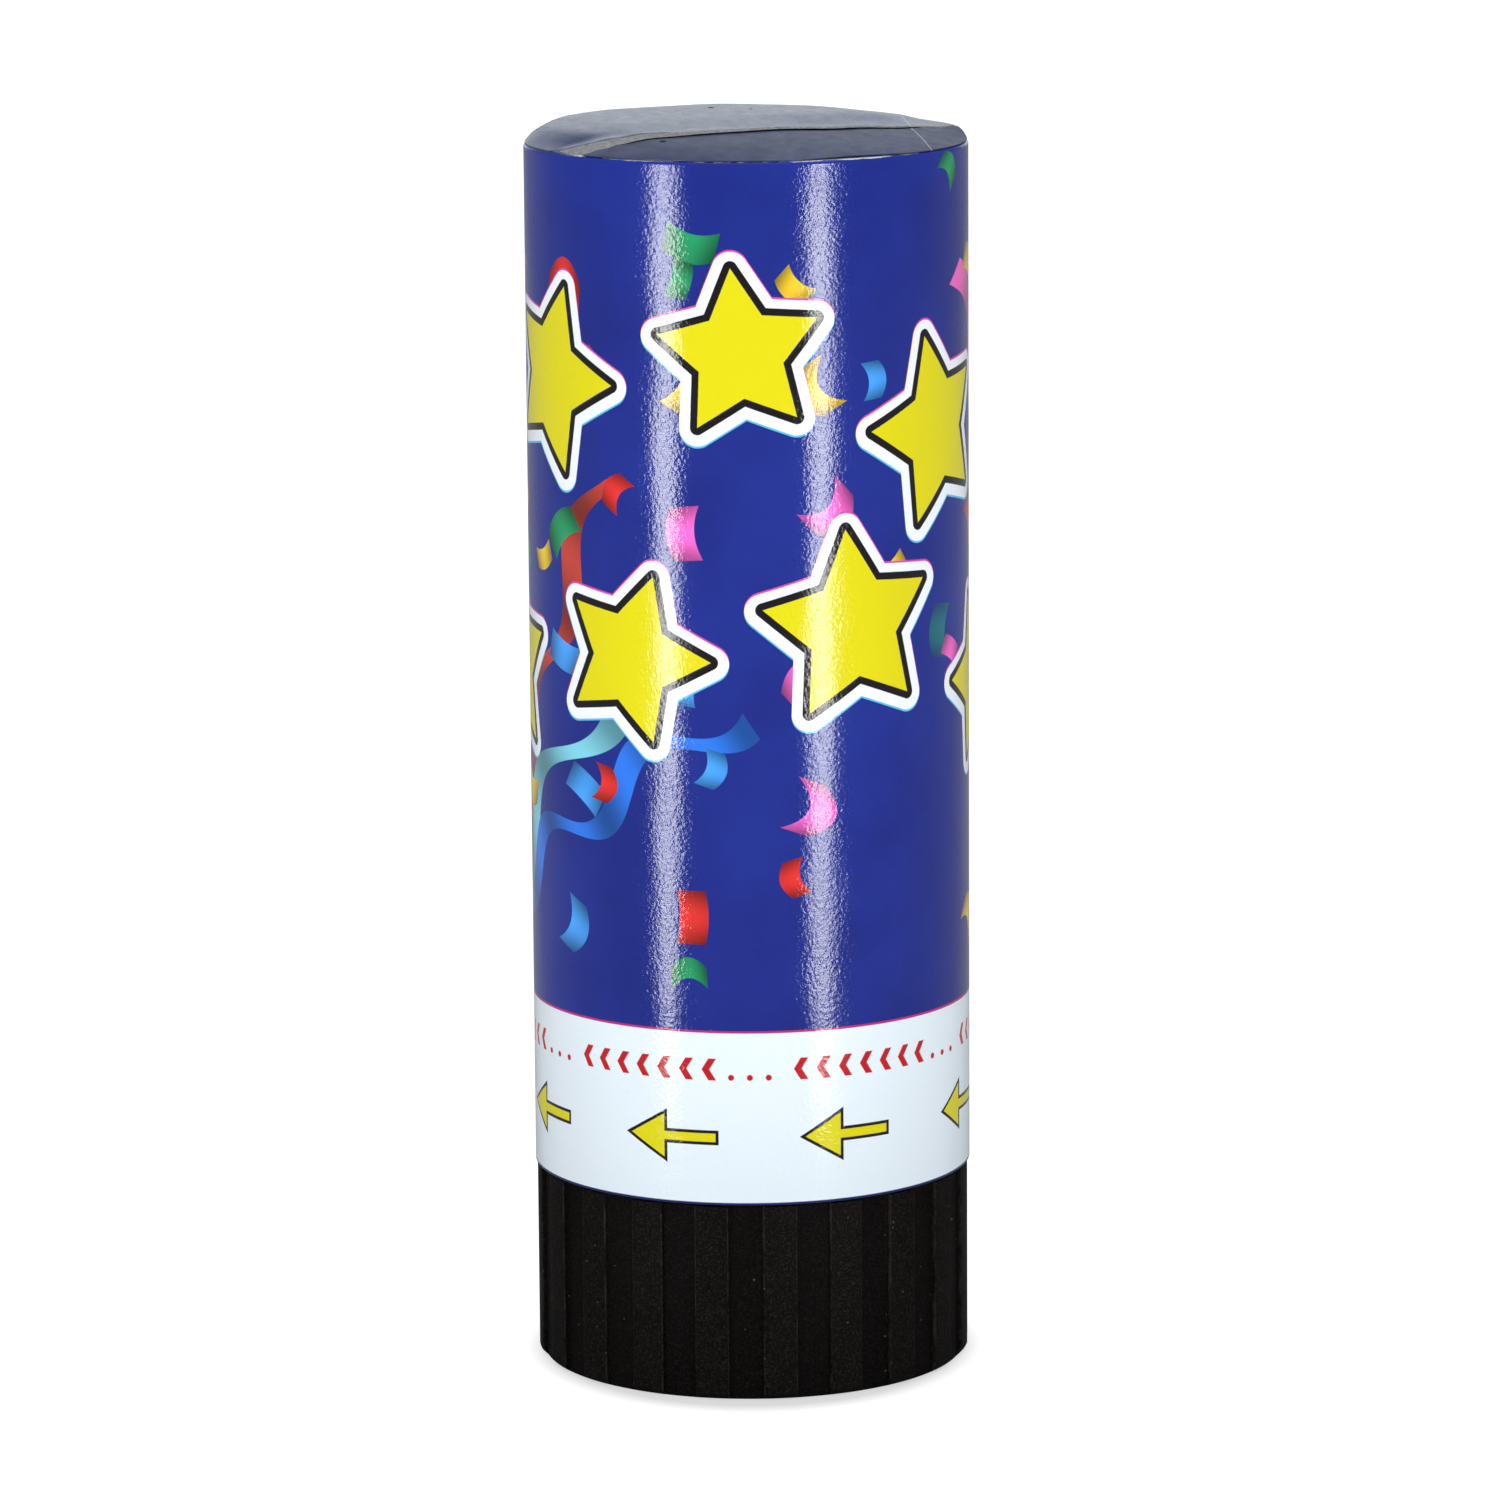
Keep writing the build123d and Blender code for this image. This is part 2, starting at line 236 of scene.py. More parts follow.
def fit(value, low, high, to_low=0.0, to_high=1.0):
    return make("ShaderNodeMapRange", {0: value, 1: low, 2: high, 3: to_low, 4: to_high})


def noise(place, scale, detail=2.0, roughness=0.5):
    values = {"Vector": place, "Scale": scale, "Detail": detail, "Roughness": roughness}
    return make("ShaderNodeTexNoise", values)


def group(tree, inputs):
    """Uses a node group and returns its results by name."""
    return outputs_of(add_node("ShaderNodeGroup", inputs, node_tree=tree))


def ink(red, green, blue):
    """A colour as a screen shows it, 0 to 255, made linear for a shader."""
    shown = (red / 255, green / 255, blue / 255)
    return (*(c / 12.92 if c <= 0.04045 else ((c + 0.055) / 1.055) ** 2.4 for c in shown), 1.0)


print("words ready")

# %% [markdown]
# Two more helpers start a group or a material, and the last one puts a colour, a roughness and a relief
# on a finished material. Every material reads where a point is in millimetres of the shared frame.

# %% Groups and materials
SOCKETS = {"Place": "NodeSocketVector", "Middle": "NodeSocketVector", "Colour": "NodeSocketColor"}


def new_group(name, inputs, outputs):
    """An empty node group with named sockets, the values it is given and the sockets of its results."""
    tree = bpy.data.node_groups.new(name, "ShaderNodeTree")
    for way, names in (("INPUT", inputs), ("OUTPUT", outputs)):
        for socket in names.split():
            kind = SOCKETS.get(socket, "NodeSocketFloat")
            tree.interface.new_socket(name=socket, in_out=way, socket_type=kind)
    given = outputs_of(tree.nodes.new("NodeGroupInput"))
    return tree, given, tree.nodes.new("NodeGroupOutput").inputs


def new_material(name, **sockets):
    """A material, where a point of the piece is in millimetres, and the sockets of its Principled shader."""
    material = bpy.data.materials.new(name)
    material.use_nodes = True
    nodes = material.node_tree.nodes
    surface = nodes["Principled BSDF"].inputs
    for socket, value in sockets.items():
        surface[socket.replace("_", " ")].default_value = value
    in_metres = outputs_of(nodes.new("ShaderNodeTexCoord"))["Object"]
    place = make("ShaderNodeVectorMath", {0: in_metres, "Scale": 1 / MM}, operation="SCALE")
    return material, place, surface


def coat(surface, colour, roughness=None, height=None, strength=1.0, depth=1.0):
    """Joins a colour, and a roughness and a relief if given, to a shader. The depth is in millimetres."""
    join(colour, surface["Base Color"])
    if roughness is not None:
        join(roughness, surface["Roughness"])
    if height is not None:
        relief = {"Strength": strength, "Distance": depth * MM, "Height": height}
        join(make("ShaderNodeBump", relief), surface["Normal"])


print("groups and materials ready")

# %% [markdown]
# The floor is a plain pale table. It is lit like anything else, so it keeps the popper's soft shadow,
# and for the camera a glow lifts the rest of it to white, a little more far off, where less lamp light
# falls. Beside the foot the glow is lowered in an oval round the popper. This paints a darker ring there,
# a painted contact shadow laid over the real one. The glow is not seen by the light that falls on the popper,
# so it adds nothing to it. The room lights the popper from all round, most from the front, but gloss
# mirrors little more than a white wall at the back, so the print stays clear between the streaks.

# %% Floor and surroundings
bpy.ops.object.select_all(action="DESELECT")
bpy.ops.mesh.primitive_plane_add(size=8.0)
floor = bpy.context.object
floor.name = "white_table"
table_grey = (0.25, 0.25, 0.25, 1.0)
shadow_shape = (1.15, 1.0, 1.0)
shadow_from, shadow_to, shadow_glow, open_glow = 20.4, 23.6, 0.53, 0.95
table_white, place, surface = new_material(
    "table_white", Roughness=0.9, Specular_IOR_Level=0.0, Emission_Strength=1.0
)
paths = outputs_of(table_white.node_tree.nodes.new("ShaderNodeLightPath"))
seen = most(paths["Is Camera Ray"], paths["Is Transmission Ray"], paths["Is Glossy Ray"] * 0.1)
# The glow is lowered in an oval round the foot, which paints a darker ring there: a painted contact shadow.
from_shadow = vector("LENGTH", place * shadow_shape)
glow_with_painted_shadow = fit(from_shadow, shadow_from, shadow_to, shadow_glow, open_glow)
far_glow = fit(vector("LENGTH", place), 60.0, 600.0, 0.0, 0.9)
glow = both(seen, most(glow_with_painted_shadow, far_glow))
coat(surface, table_grey)
join(xyz(glow, glow, glow), surface["Emission Color"])
floor.data.materials.append(table_white)
floor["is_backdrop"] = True

front_white, mirror_white, white = (1.0, 1.0, 1.03, 1), (0.92, 0.97, 1.0, 1), (1, 1, 1, 1)
world = bpy.data.worlds.new("studio_room")
bpy.context.scene.world = world
world.use_nodes = True
nodes = world.node_tree.nodes
paths = outputs_of(nodes.new("ShaderNodeLightPath"))
_, ahead, _ = axes(outputs_of(nodes.new("ShaderNodeTexCoord"))["Generated"])
at_the_front, at_the_back, wall_from, wall_to, mirrored_front = 1.09, 0.46, 0.84, 0.95, 0.2
frontal = shade(front_white, fit(ahead, -1.0, 1.0, at_the_front, at_the_back))
mirrored = shade(mirror_white, fit(ahead, wall_from, wall_to, mirrored_front, 1.0))
room = paint(paths["Is Glossy Ray"], frontal, mirrored)
seen = most(paths["Is Camera Ray"], paths["Is Transmission Ray"])
join(paint(seen, room, white), nodes["Background"].inputs["Color"])
print("floor and surroundings ready")

# %% [markdown]
# ## Shapes for the print
# The wrap is printed paper, and its print is drawn by nodes rather than by a picture: each figure is a
# distance in millimetres from its own outline, negative inside. A distance gives a sharp edge at any
# size, and the same distance gives the outline and the halo round it. The first figure is a
# five-pointed star. Its corner is folded over and over onto one half point, and the distance
# to that one straight side is all that has to be worked out.

# %% Star figure
star_points = 5
star_waist = 0.52
star_figure, given, result = new_group("star_figure", "Place Radius", "Distance")
half_point = pi / star_points
tip = Vector((1, 0, 0))
waist = Vector((star_waist * cos(half_point), star_waist * sin(half_point), 0))
side = waist - tip
unit_place = given["Place"] / xyz(given["Radius"], given["Radius"], 1.0)
unit_x, unit_y, _ = axes(unit_place)
far = vector("LENGTH", unit_place)
fold = calc("PINGPONG", calc("ARCTAN2", unit_x, unit_y), half_point)
folded = xyz(far * calc("COSINE", fold), far * calc("SINE", fold))
from_tip = folded - tip
along = vector("DOT_PRODUCT", from_tip, side / side.length_squared)
along = calc("MULTIPLY", along, 1.0, clamp=True)
on_side = xyz(along, along) * side
gap = vector("DISTANCE", from_tip, on_side)
inward = vector("DOT_PRODUCT", from_tip, Vector((-side.y, side.x, 0)))
signed = gap * calc("SIGN", inward)
join(signed * given["Radius"] * -1.0, result["Distance"])
print("star figure:", len(star_figure.nodes), "nodes")

# %% [markdown]
# Stars stand in rows round the barrel. Each row is cut into equal cells, and a cell's number sets how
# high its star stands, how large it is and how far it leans, so one figure gives a whole row and no two
# neighbours look stamped. Copying the star node for every star would do the same with many more nodes.

# %% Row of stars
star_row, given, result = new_group(
    "star_row", "Place Pitch Start Height Sway Large Small", "Distance"
)
sway_step, lean_step, most_lean = 2.4, 1.9, 0.32
row_x, row_y, _ = axes(given["Place"])
cell = (row_x - given["Start"]) / given["Pitch"]
number = calc("FLOOR", cell)
from_middle = cell - number - 0.5
star_height = calc("SINE", number * sway_step) * given["Sway"] + given["Height"]
star_place = xyz(from_middle * given["Pitch"], row_y - star_height)
leaning = spun(star_place, calc("COSINE", number * lean_step) * most_lean)
sizes = {0: number % 2.0, 2: given["Large"], 3: given["Small"]}
star_radius = make("ShaderNodeMix", sizes, data_type="FLOAT")
star = group(star_figure, {"Place": leaning, "Radius": star_radius})
join(star["Distance"], result["Distance"])
print("star row:", len(star_row.nodes), "nodes")

# %% [markdown]
# The loose confetti in the print is scattered. The surface is cut into square cells, and a white-noise
# number for each cell decides whether it holds a piece, where, at what turn, in which colour and how
# much it is curled. The noise has no seed to set and is the same at every run. A curled strip is a
# bar bent into an arc, shaded from light in the middle to dark at its ends.

# %% Scattered confetti
confetti_scatter, given, result = new_group(
    "confetti_scatter", "Place Cell Seed Share Length Width", "Mask Shade Choice"
)
next_draw, wander, least_curl, more_curl = (17.0, 5.0, 0.5), 0.36, 0.04, 0.34
cells = given["Place"] / xyz(given["Cell"], given["Cell"], 1.0)
seed_place = vector("FLOOR", cells) + xyz(0.0, 0.0, given["Seed"])
draw = make("ShaderNodeTexWhiteNoise", {"Vector": seed_place}, 1, noise_dimensions="3D")
draw_x, draw_y, draw_turn = axes(draw)
second_place = seed_place + next_draw
second = make("ShaderNodeTexWhiteNoise", {"Vector": second_place}, 1, noise_dimensions="3D")
draw_colour, draw_curl, draw_there = axes(second)
inside_cell = vector("FRACTION", cells) - (0.5, 0.5, 0.0)
moved = xyz(draw_x * wander - wander / 2, draw_y * wander - wander / 2)
local = (inside_cell - moved) * xyz(given["Cell"], given["Cell"])
bit_x, bit_y, _ = axes(spun(local, draw_turn * (2 * pi)))
curl = draw_curl * more_curl + least_curl
bent_y = bit_y - bit_x * bit_x * curl
half_length = given["Length"] * 0.5
side_gap = abs(bent_y) - given["Width"] * 0.5
bit = inside(most(abs(bit_x) - half_length, side_gap), 0.0)
there = inside(draw_there, given["Share"], 0.001)
join(both(bit, there), result["Mask"])
light_middle = calc("COSINE", bit_x / half_length * 2.6) * 0.42 + 0.85
join(bent_y * 0.16 + light_middle, result["Shade"])
join(draw_colour, result["Choice"])
print("confetti scatter:", len(confetti_scatter.nodes), "nodes")

# %% [markdown]
# Streamers are ribbons that wave along a slanting line. The distance is taken across the wave, and
# the shade changes along it, so that the ribbon seems to turn towards the light and away again.

# %% Streamer
streamer, given, result = new_group(
    "streamer", "Place Middle Turn Length Width Wave Rate Phase", "Mask Shade"
)
away = given["Place"] - given["Middle"]
ribbon_x, ribbon_y, _ = axes(spun(away, given["Turn"]))
swing = ribbon_x * given["Rate"] + given["Phase"]
wave = calc("SINE", swing) * given["Wave"]
across = abs(ribbon_y - wave)
facing = calc("COSINE", swing) * 0.3 + 0.72
ribbon = inside(across, given["Width"] * 0.5 * facing)
ends = inside(abs(ribbon_x), given["Length"] * 0.5)
join(both(ribbon, ends), result["Mask"])
glint = calc("SINE", swing * 2.0 + 0.8)
join(glint * 0.38 + 0.82, result["Shade"])
print("streamer:", len(streamer.nodes), "nodes")

# %% [markdown]
# ## Shared wear
# Specks of dust and pale scuffs show on the lid and on the black base alike, so they are one group with
# a size and a share. Small cells of a Voronoi texture hold one speck each, and only a few of them show.

# %% Dust specks
dust_specks, given, result = new_group("dust_specks", "Place Cell Size Share", "Mask")
dust_place = given["Place"] / xyz(given["Cell"], given["Cell"], given["Cell"])
dust = outputs_of(add_node("ShaderNodeTexVoronoi", {"Vector": dust_place, "Scale": 1.0}))
dust_draw, dust_size, _ = axes(dust["Color"])
speck = inside(dust["Distance"], given["Size"] * (dust_size * 0.8 + 0.4), 0.03)
join(both(speck, inside(dust_draw, given["Share"], 0.001)), result["Mask"])


def dust_on(place, cell, size, share):
    """Where specks show: a cell's size in millimetres, and a speck's size and chance in its cell."""
    return group(dust_specks, {"Place": place, "Cell": cell, "Size": size, "Share": share})["Mask"]


print("dust specks:", len(dust_specks.nodes), "nodes")

# %% [markdown]
# ## The printed wrap's finish
# The wrap is a varnished label: a deep blue field, yellow stars with a black line and a white halo, loose
# confetti and streamers, and a pale band at the foot with arrows for the way to twist. The nodes read where a
# point is round the barrel and how high, so nothing has to be unwrapped. The join of the paper
# is at the back, and the print is cut there as the real one is.

# %% Where the print starts
sleeve_radius = 19.0
barrel_foot = 17.2
rim_height = 106.0
lap_edge_bearing = 51.0
print_turn = radians(180 - lap_edge_bearing)
front_in_print = radians(-90) + print_turn
round_the_barrel = 2 * pi * sleeve_radius

wrap_print, place, surface = new_material("wrap_print", IOR=1.5, Specular_IOR_Level=0.4)
open_x, open_y, height = axes(spun(place, print_turn))
along = (calc("ARCTAN2", open_y, open_x) - front_in_print) * sleeve_radius
flat = xyz(along, height)
print("print starts at", round(degrees(front_in_print)), "degrees from the join")

# %% [markdown]
# The picture in the blue field comes first: a slightly uneven blue, then the streamers, then two
# scatters of confetti, a larger and a smaller one. Each is painted over what lies under it.

# %% Blue field with streamers and confetti
blue = ink(28, 45, 139)
deep_blue = ink(23, 37, 124)
mottle = noise(place, 0.09, 3.0)
picture = paint(fit(mottle, 0.35, 0.65), deep_blue, blue)
ribbons = (
    ((-25.0, 56.0), 62, 52.0, 3.2, 1.7, 0.36, 0.4, ink(176, 62, 52)),
    ((-21.0, 52.0), 48, 46.0, 3.6, 2.4, 0.29, 2.0, ink(120, 196, 214)),
    ((-17.5, 49.0), 33, 40.0, 3.0, 1.9, 0.41, 3.4, ink(42, 110, 214)),
    ((36.0, 78.0), -52, 44.0, 3.2, 2.0, 0.33, 1.1, ink(222, 96, 176)),
    ((-58.0, 80.0), 128, 46.0, 3.4, 2.1, 0.31, 2.6, ink(224, 178, 44)),
)
for (middle_x, middle_y), slant, length, width, wave, rate, phase, colour in ribbons:
    values = {"Place": flat, "Middle": (middle_x, middle_y, 0), "Turn": radians(-slant), "Length": length,
              "Width": width, "Wave": wave, "Rate": rate, "Phase": phase}
    made = group(streamer, values)
    picture = paint(made["Mask"], picture, shade(colour, made["Shade"]))

party_colours = (ink(196, 44, 40), ink(212, 178, 40), ink(30, 132, 84), ink(214, 92, 178), ink(62, 140, 214))


def chosen_colour(choice):
    """One of the confetti colours, picked by a number from 0 to 1."""
    colour = party_colours[0]
    for step, next_colour in enumerate(party_colours[1:], start=1):
        past = calc("GREATER_THAN", choice, step / len(party_colours))
        colour = paint(past, colour, next_colour)
    return colour


scatters = ((11.5, 3.0, 0.62, 4.6, 2.5), (8.3, 11.0, 0.30, 3.2, 1.8))
for cell, seed, share, length, width in scatters:
    values = {"Place": flat, "Cell": cell, "Seed": seed, "Share": share, "Length": length, "Width": width}
    made = group(confetti_scatter, values)
    picture = paint(made["Mask"], picture, shade(chosen_colour(made["Choice"]), made["Shade"]))
print("streamers:", len(ribbons), "scatters:", len(scatters))

# %% [markdown]
# The stars lie over the picture. Their halo is bare white paper where neither the cyan nor the magenta plate
# prints. On the real label the plates are a little out of line, so a halo has a pink upper edge and a
# pale blue lower one. Reading the same rows twice, a fraction of a millimetre apart, gives that.

# %% Stars, halo and the plates out of line
paper_white = ink(240, 246, 252)
cyan_alone = ink(92, 190, 236)
magenta_alone = ink(214, 70, 168)
black_line = ink(20, 17, 22)
star_yellow = ink(223, 214, 14)
star_line = 0.62
star_halo = 1.55
stars_in_row = 6
plate_shift = 0.17
star_pitch = round_the_barrel / stars_in_row
rows = (
    {"Start": -30.5, "Height": 87.0, "Sway": 4.5, "Large": 8.3, "Small": 7.2},
    {"Start": -20.6, "Height": 64.0, "Sway": 4.0, "Large": 7.4, "Small": 8.3},
)


def star_distance(at):
    return least(*(group(star_row, {"Place": at, "Pitch": star_pitch, **row})["Distance"] for row in rows))


stars = star_distance(flat)
shifted = star_distance(flat + (0.0, plate_shift, 0.0))
cyan_off = inside(stars, star_halo)
magenta_off = inside(shifted, star_halo)
field = paint(magenta_off, picture, cyan_alone)
bare = paint(magenta_off, magenta_alone, paper_white)
field = paint(cyan_off, field, bare)
field = paint(inside(stars, star_line), field, black_line)
field = paint(inside(stars, 0.0), field, star_yellow)
print("stars round the barrel:", stars_in_row * len(rows))

# %% [markdown]
# The pale band at the foot has arrows that point the way to twist the base, and above them a row of
# small red chevrons and dots. An arrow is a triangle joined to a bar, and the row repeats by folding the
# distance round the barrel into equal cells.

# %% Band with arrows and chevrons
band_top = 32.36
line_thickness = 0.2
band_white, line_pink, foot_blue = ink(230, 242, 249), ink(186, 44, 118), ink(26, 40, 96)
arrow_pitch = 15.42
arrow_start = -11.4
arrow_height = 23.05
arrow_length, head_length, head_half, shaft_half = 8.5, 3.95, 2.35, 0.64
arrow_line = 0.27
arrow_x = calc("FRACT", (along - arrow_start) / arrow_pitch) * arrow_pitch
arrow_y = abs(height - arrow_height)
head_slope = hypot(head_length, head_half)
head_side = arrow_y * (head_length / head_slope) - arrow_x * (head_half / head_slope)
head = most(head_side, arrow_x - head_length)
shaft_end = most(arrow_x - arrow_length, head_length / 2 - arrow_x)
shaft = most(arrow_y - shaft_half, shaft_end)
arrow = least(head, shaft)
band = paint(inside(arrow, 0.0), band_white, black_line)
band = paint(inside(arrow, -arrow_line), band, star_yellow)

mark_red = ink(190, 26, 34)
marks_round = 6
mark_pitch = round_the_barrel / marks_round
mark_start, mark_height, dot_drop = -16.6, 29.0, 0.68
chevron_step, chevron_half, chevron_line, chevron_slope, chevrons_end = 2.0, 0.95, 0.34, 0.62, 14.0
dot_step, dot_radius, dots_end = 1.6, 0.26, 18.8
mark_x = calc("FRACT", (along - mark_start) / mark_pitch) * mark_pitch
mark_y = height - mark_height
chevron_x = mark_x % chevron_step - chevron_step * 0.3
chevron_y = abs(mark_y)
chevron_side = chevron_x - chevron_y * chevron_slope
stroke = both(inside(abs(chevron_side), chevron_line), inside(chevron_y, chevron_half))
chevron = both(stroke, inside(mark_x, chevrons_end))
dot_x = (mark_x - chevrons_end) % dot_step - dot_step / 2
dot_far = vector("LENGTH", xyz(dot_x, mark_y + dot_drop))
dots = both(inside(dot_far, dot_radius), inside(chevrons_end, mark_x), inside(mark_x, dots_end))
band = paint(most(chevron, dots), band, mark_red)
band = paint(inside(height, barrel_foot + line_thickness), band, foot_blue)
label = paint(inside(height, band_top), field, line_pink)
label = paint(inside(height, band_top - line_thickness), label, band)
print("arrows", arrow_length, "mm long, one every", arrow_pitch, "mm")

# %% [markdown]
# Where the paper folds over the rim its print is cracked, and the white paper shows in an uneven
# line. The varnish is not flat: fine dimples break up the lamps' streaks, and slower waves in the card
# below bend them. Both are heights for one Bump node.

# %% Rim wear and varnish
bare_paper = ink(214, 216, 222)
wave_height, dimple_height = 0.16, 0.028
fold_noise = noise(place, 0.6, 3.0, 0.6)
less_behind = fit(axes(place)[1], -15.0, -3.0, 0.0, 0.15)
crack_edge = fold_noise * -0.25 + (rim_height + 0.1) + less_behind
label = paint(inside(crack_edge, height, 0.03), label, bare_paper)
scuff = fit(noise(place, 0.35, 5.0, 0.65), 0.35, 0.75, 0.08, 0.15)
dimples = noise(place, 3.0, 2.0, 0.6)
card_waves = noise(place * (1.0, 1.0, 0.45), 0.16, 1.0)
coat(surface, label, scuff, card_waves * wave_height + dimples * dimple_height)
print("wrap print:", len(wrap_print.node_tree.nodes), "nodes")

# %% [markdown]
# ## The wrap itself
# The sleeve is a thin paper tube, folded in over the rim, and its ends lap at the back. A thing that
# is round is quickest turned on a lathe: one point is drawn out into the outline of the wall, and
# Spin carries that outline round the axis. The doubles where the turn closes are merged, and
# the faces are made to point outwards.

# %% Helpers for pieces, and a lathe
def new_piece(name, add_primitive, place=(0, 0, 0), turn=(0, 0, 0), **settings):
    """Adds a primitive at a place in millimetres, with its origin at the frame's, and edits it."""
    bpy.ops.object.select_all(action="DESELECT")
    add_primitive(location=Vector(place) * MM, rotation=turn, **settings)
    bpy.ops.object.transform_apply(location=True, rotation=True)
    piece = bpy.context.object
    piece.name = piece.data.name = name
    bpy.ops.object.mode_set(mode="EDIT")
    return piece


def pick(piece, kind, wanted):
    """In edit mode, selects the verts, edges or faces that the test wants, and nothing else."""
    bpy.ops.mesh.select_mode(type=kind)
    bpy.ops.mesh.select_all(action="DESELECT")
    mesh = bmesh.from_edit_mesh(piece.data)
    items = {"VERT": mesh.verts, "EDGE": mesh.edges, "FACE": mesh.faces}[kind]
    found = [item for item in items if wanted(item)]
    for item in found:
        item.select_set(True)
    mesh.select_flush_mode()
    bmesh.update_edit_mesh(piece.data)
    return len(found)


def bearing_of(point):
    """The direction of a point from the axis, in degrees from 0 to 360."""
    return degrees(atan2(point[1], point[0])) % 360


def off_axis(point):
    """How far a point is from the axis, in millimetres."""
    return hypot(point[0], point[1]) / MM


def apply_modifier(piece, kind, **settings):
    modifier = piece.modifiers.new(kind, kind)
    for name, value in settings.items():
        setattr(modifier, name, value)
    bpy.ops.object.modifier_apply(modifier=modifier.name)


def merge_doubles(reach=MM / 1000):
    bpy.ops.mesh.select_all(action="SELECT")
    bpy.ops.mesh.remove_doubles(threshold=reach)


def face_outwards():
    bpy.ops.mesh.select_all(action="SELECT")
    bpy.ops.mesh.normals_make_consistent(inside=False)


def grow(factor):
    """Scales what is selected away from the axis."""
    bpy.ops.transform.resize(value=(factor, factor, 1), center_override=(0, 0, 0))


def push_out(factor):
    """Extrudes the selected faces away from the axis."""
    bpy.ops.mesh.extrude_region_move(TRANSFORM_OT_translate={"value": (0, 0, 0)})
    grow(factor)


def turned(name, outline, steps):
    """A closed outline of (radius, height) points in millimetres, turned about the barrel's axis."""
    piece = new_piece(name, bpy.ops.mesh.primitive_plane_add, size=MM)
    bpy.ops.mesh.merge(type="CENTER")
    bpy.ops.transform.translate(value=(outline[0][0] * MM, 0, outline[0][1] * MM))
    closed = [*outline, outline[0]]
    for here, there in zip(closed, closed[1:]):
        step = ((there[0] - here[0]) * MM, 0, (there[1] - here[1]) * MM)
        bpy.ops.mesh.extrude_vertices_move(TRANSFORM_OT_translate={"value": step})
    merge_doubles()
    bpy.ops.mesh.spin(steps=steps, angle=2 * pi, center=(0, 0, 0), axis=(0, 0, 1))
    merge_doubles()
    face_outwards()
    return piece


def end_piece(piece, material, body, replaced=(), smooth=40):
    """Leaves edit mode, smooths the shading, gives the finish and ties the piece to its CAD body."""
    bpy.ops.object.mode_set(mode="OBJECT")
    if smooth:
        bpy.ops.object.shade_smooth_by_angle(angle=radians(smooth))
    if not piece.data.materials:
        piece.data.materials.append(material)
    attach(piece, body)
    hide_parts(*replaced)
    print(piece.name, "rides on", body, "with", len(piece.data.polygons), "faces")


# %% Turn the sleeve
paper = 0.2
fold_radius = 0.3
bore_radius = 17.58
fold_steps = 5
fold_arc = [radians(90 * step / fold_steps) for step in range(fold_steps + 1)]
fold_across, fold_height = sleeve_radius - fold_radius, rim_height - fold_radius
wall_shares = (0.02, 0.17, 0.34, 0.5, 0.67, 0.84)
sleeve_outline = [
    (sleeve_radius - paper, barrel_foot),
    (sleeve_radius, barrel_foot),
    *((sleeve_radius, barrel_foot + share * (fold_height - barrel_foot)) for share in wall_shares),
    *((fold_across + fold_radius * cos(angle), fold_height + fold_radius * sin(angle)) for angle in fold_arc),
    (bore_radius, rim_height),
    (bore_radius, rim_height - paper),
    (sleeve_radius - paper, rim_height - paper),
]
sleeve = turned("printed_sleeve", sleeve_outline, 360)

# %% [markdown]
# The lap is lifted by the thickness of the paper. Its free edge is a sharp step, so the ring of points
# just before it is slid up close to it, and the other side rises gently over the end that lies beneath.

# %% Lift the lap at the back
rise_steps = ((69.5, 1.0), (71.5, 0.75), (72.5, 0.4))


def on_lap(point, low, high):
    outside = off_axis(point) > sleeve_radius - paper / 2 - fold_radius
    return outside and point[2] < (rim_height - fold_radius / 2) * MM and low <= bearing_of(point) <= high


slack, edge_slide = 0.2, 0.9
pick(sleeve, "VERT", lambda v: abs(bearing_of(v.co) - (lap_edge_bearing - 1)) < slack)
bpy.ops.transform.rotate(value=radians(-edge_slide), orient_axis="Z", center_override=(0, 0, 0))
low_bearing = lap_edge_bearing - slack / 4
for high_bearing, share in rise_steps:
    count = pick(sleeve, "VERT", lambda v: on_lap(v.co, low_bearing, high_bearing))
    grow(1 + share * paper / sleeve_radius)
    low_bearing = high_bearing
    print("lap: lifted", count, "points by", share * paper, "mm")
end_piece(sleeve, wrap_print, "barrel", ["printed_wrap"])

# %% [markdown]
# ## The lid's finish
# The lid is two flaps of grey board with a dark, shiny facing. Seen almost edge-on, the facing mirrors the
# white room, so it looks pale at the back and a darker slate where it bends away. A thin crease runs across
# both flaps near the right-hand side, and a painted highlight makes it a pale line. There are a few dark
# specks. Where the board is cut, its grey fibres show, so the cut has a finish of its own.

# %% Lid facing and grey board
crease_start, crease_end = Vector((13.5, 9.8, 0)), Vector((15.6, -10.8, 0))


def facing_finish(name, ior, smooth, rough):
    """A dark slate facing with a crease, painted pale along it as a highlight, and specks. Its roughness runs
    between the two given values.
    """
    facing, place, surface = new_material(name, IOR=ior)
    crease_way = (crease_end - crease_start).normalized()
    crease_across = Vector((crease_way.y, -crease_way.x, 0))
    from_crease = place - crease_start
    crease_gap = abs(vector("DOT_PRODUCT", from_crease, crease_across))
    crease_and_highlight = inside(crease_gap, noise(place, 0.8) * 0.12 - 0.01)
    streaky = place * (1.0, 0.5, 1.0)
    specks = dust_on(streaky, 4.2, 0.085, 0.35)
    slate = paint(fit(noise(place, 0.25, 3.0), 0.3, 0.7), ink(26, 42, 82), ink(36, 54, 98))
    slate = paint(specks, slate, ink(12, 11, 14))
    # The crease is painted pale along its length as a painted highlight. Its relief is a real bump.
    slate = paint(crease_and_highlight, slate, ink(150, 158, 168))
    smear = fit(noise(streaky, 0.9, 4.0, 0.6), 0.3, 0.8, smooth, rough)
    dents = noise(place, 0.22, 1.0) * 0.6 + noise(place, 2.6) * 0.05
    coat(surface, slate, specks * 0.4 + smear, crease_and_highlight * 0.3 + dents, strength=0.5, depth=0.1)
    return facing


lid_facing = facing_finish("lid_facing", 1.5, 0.22, 0.3)
front_facing = facing_finish("front_facing", 1.43, 0.4, 0.52)

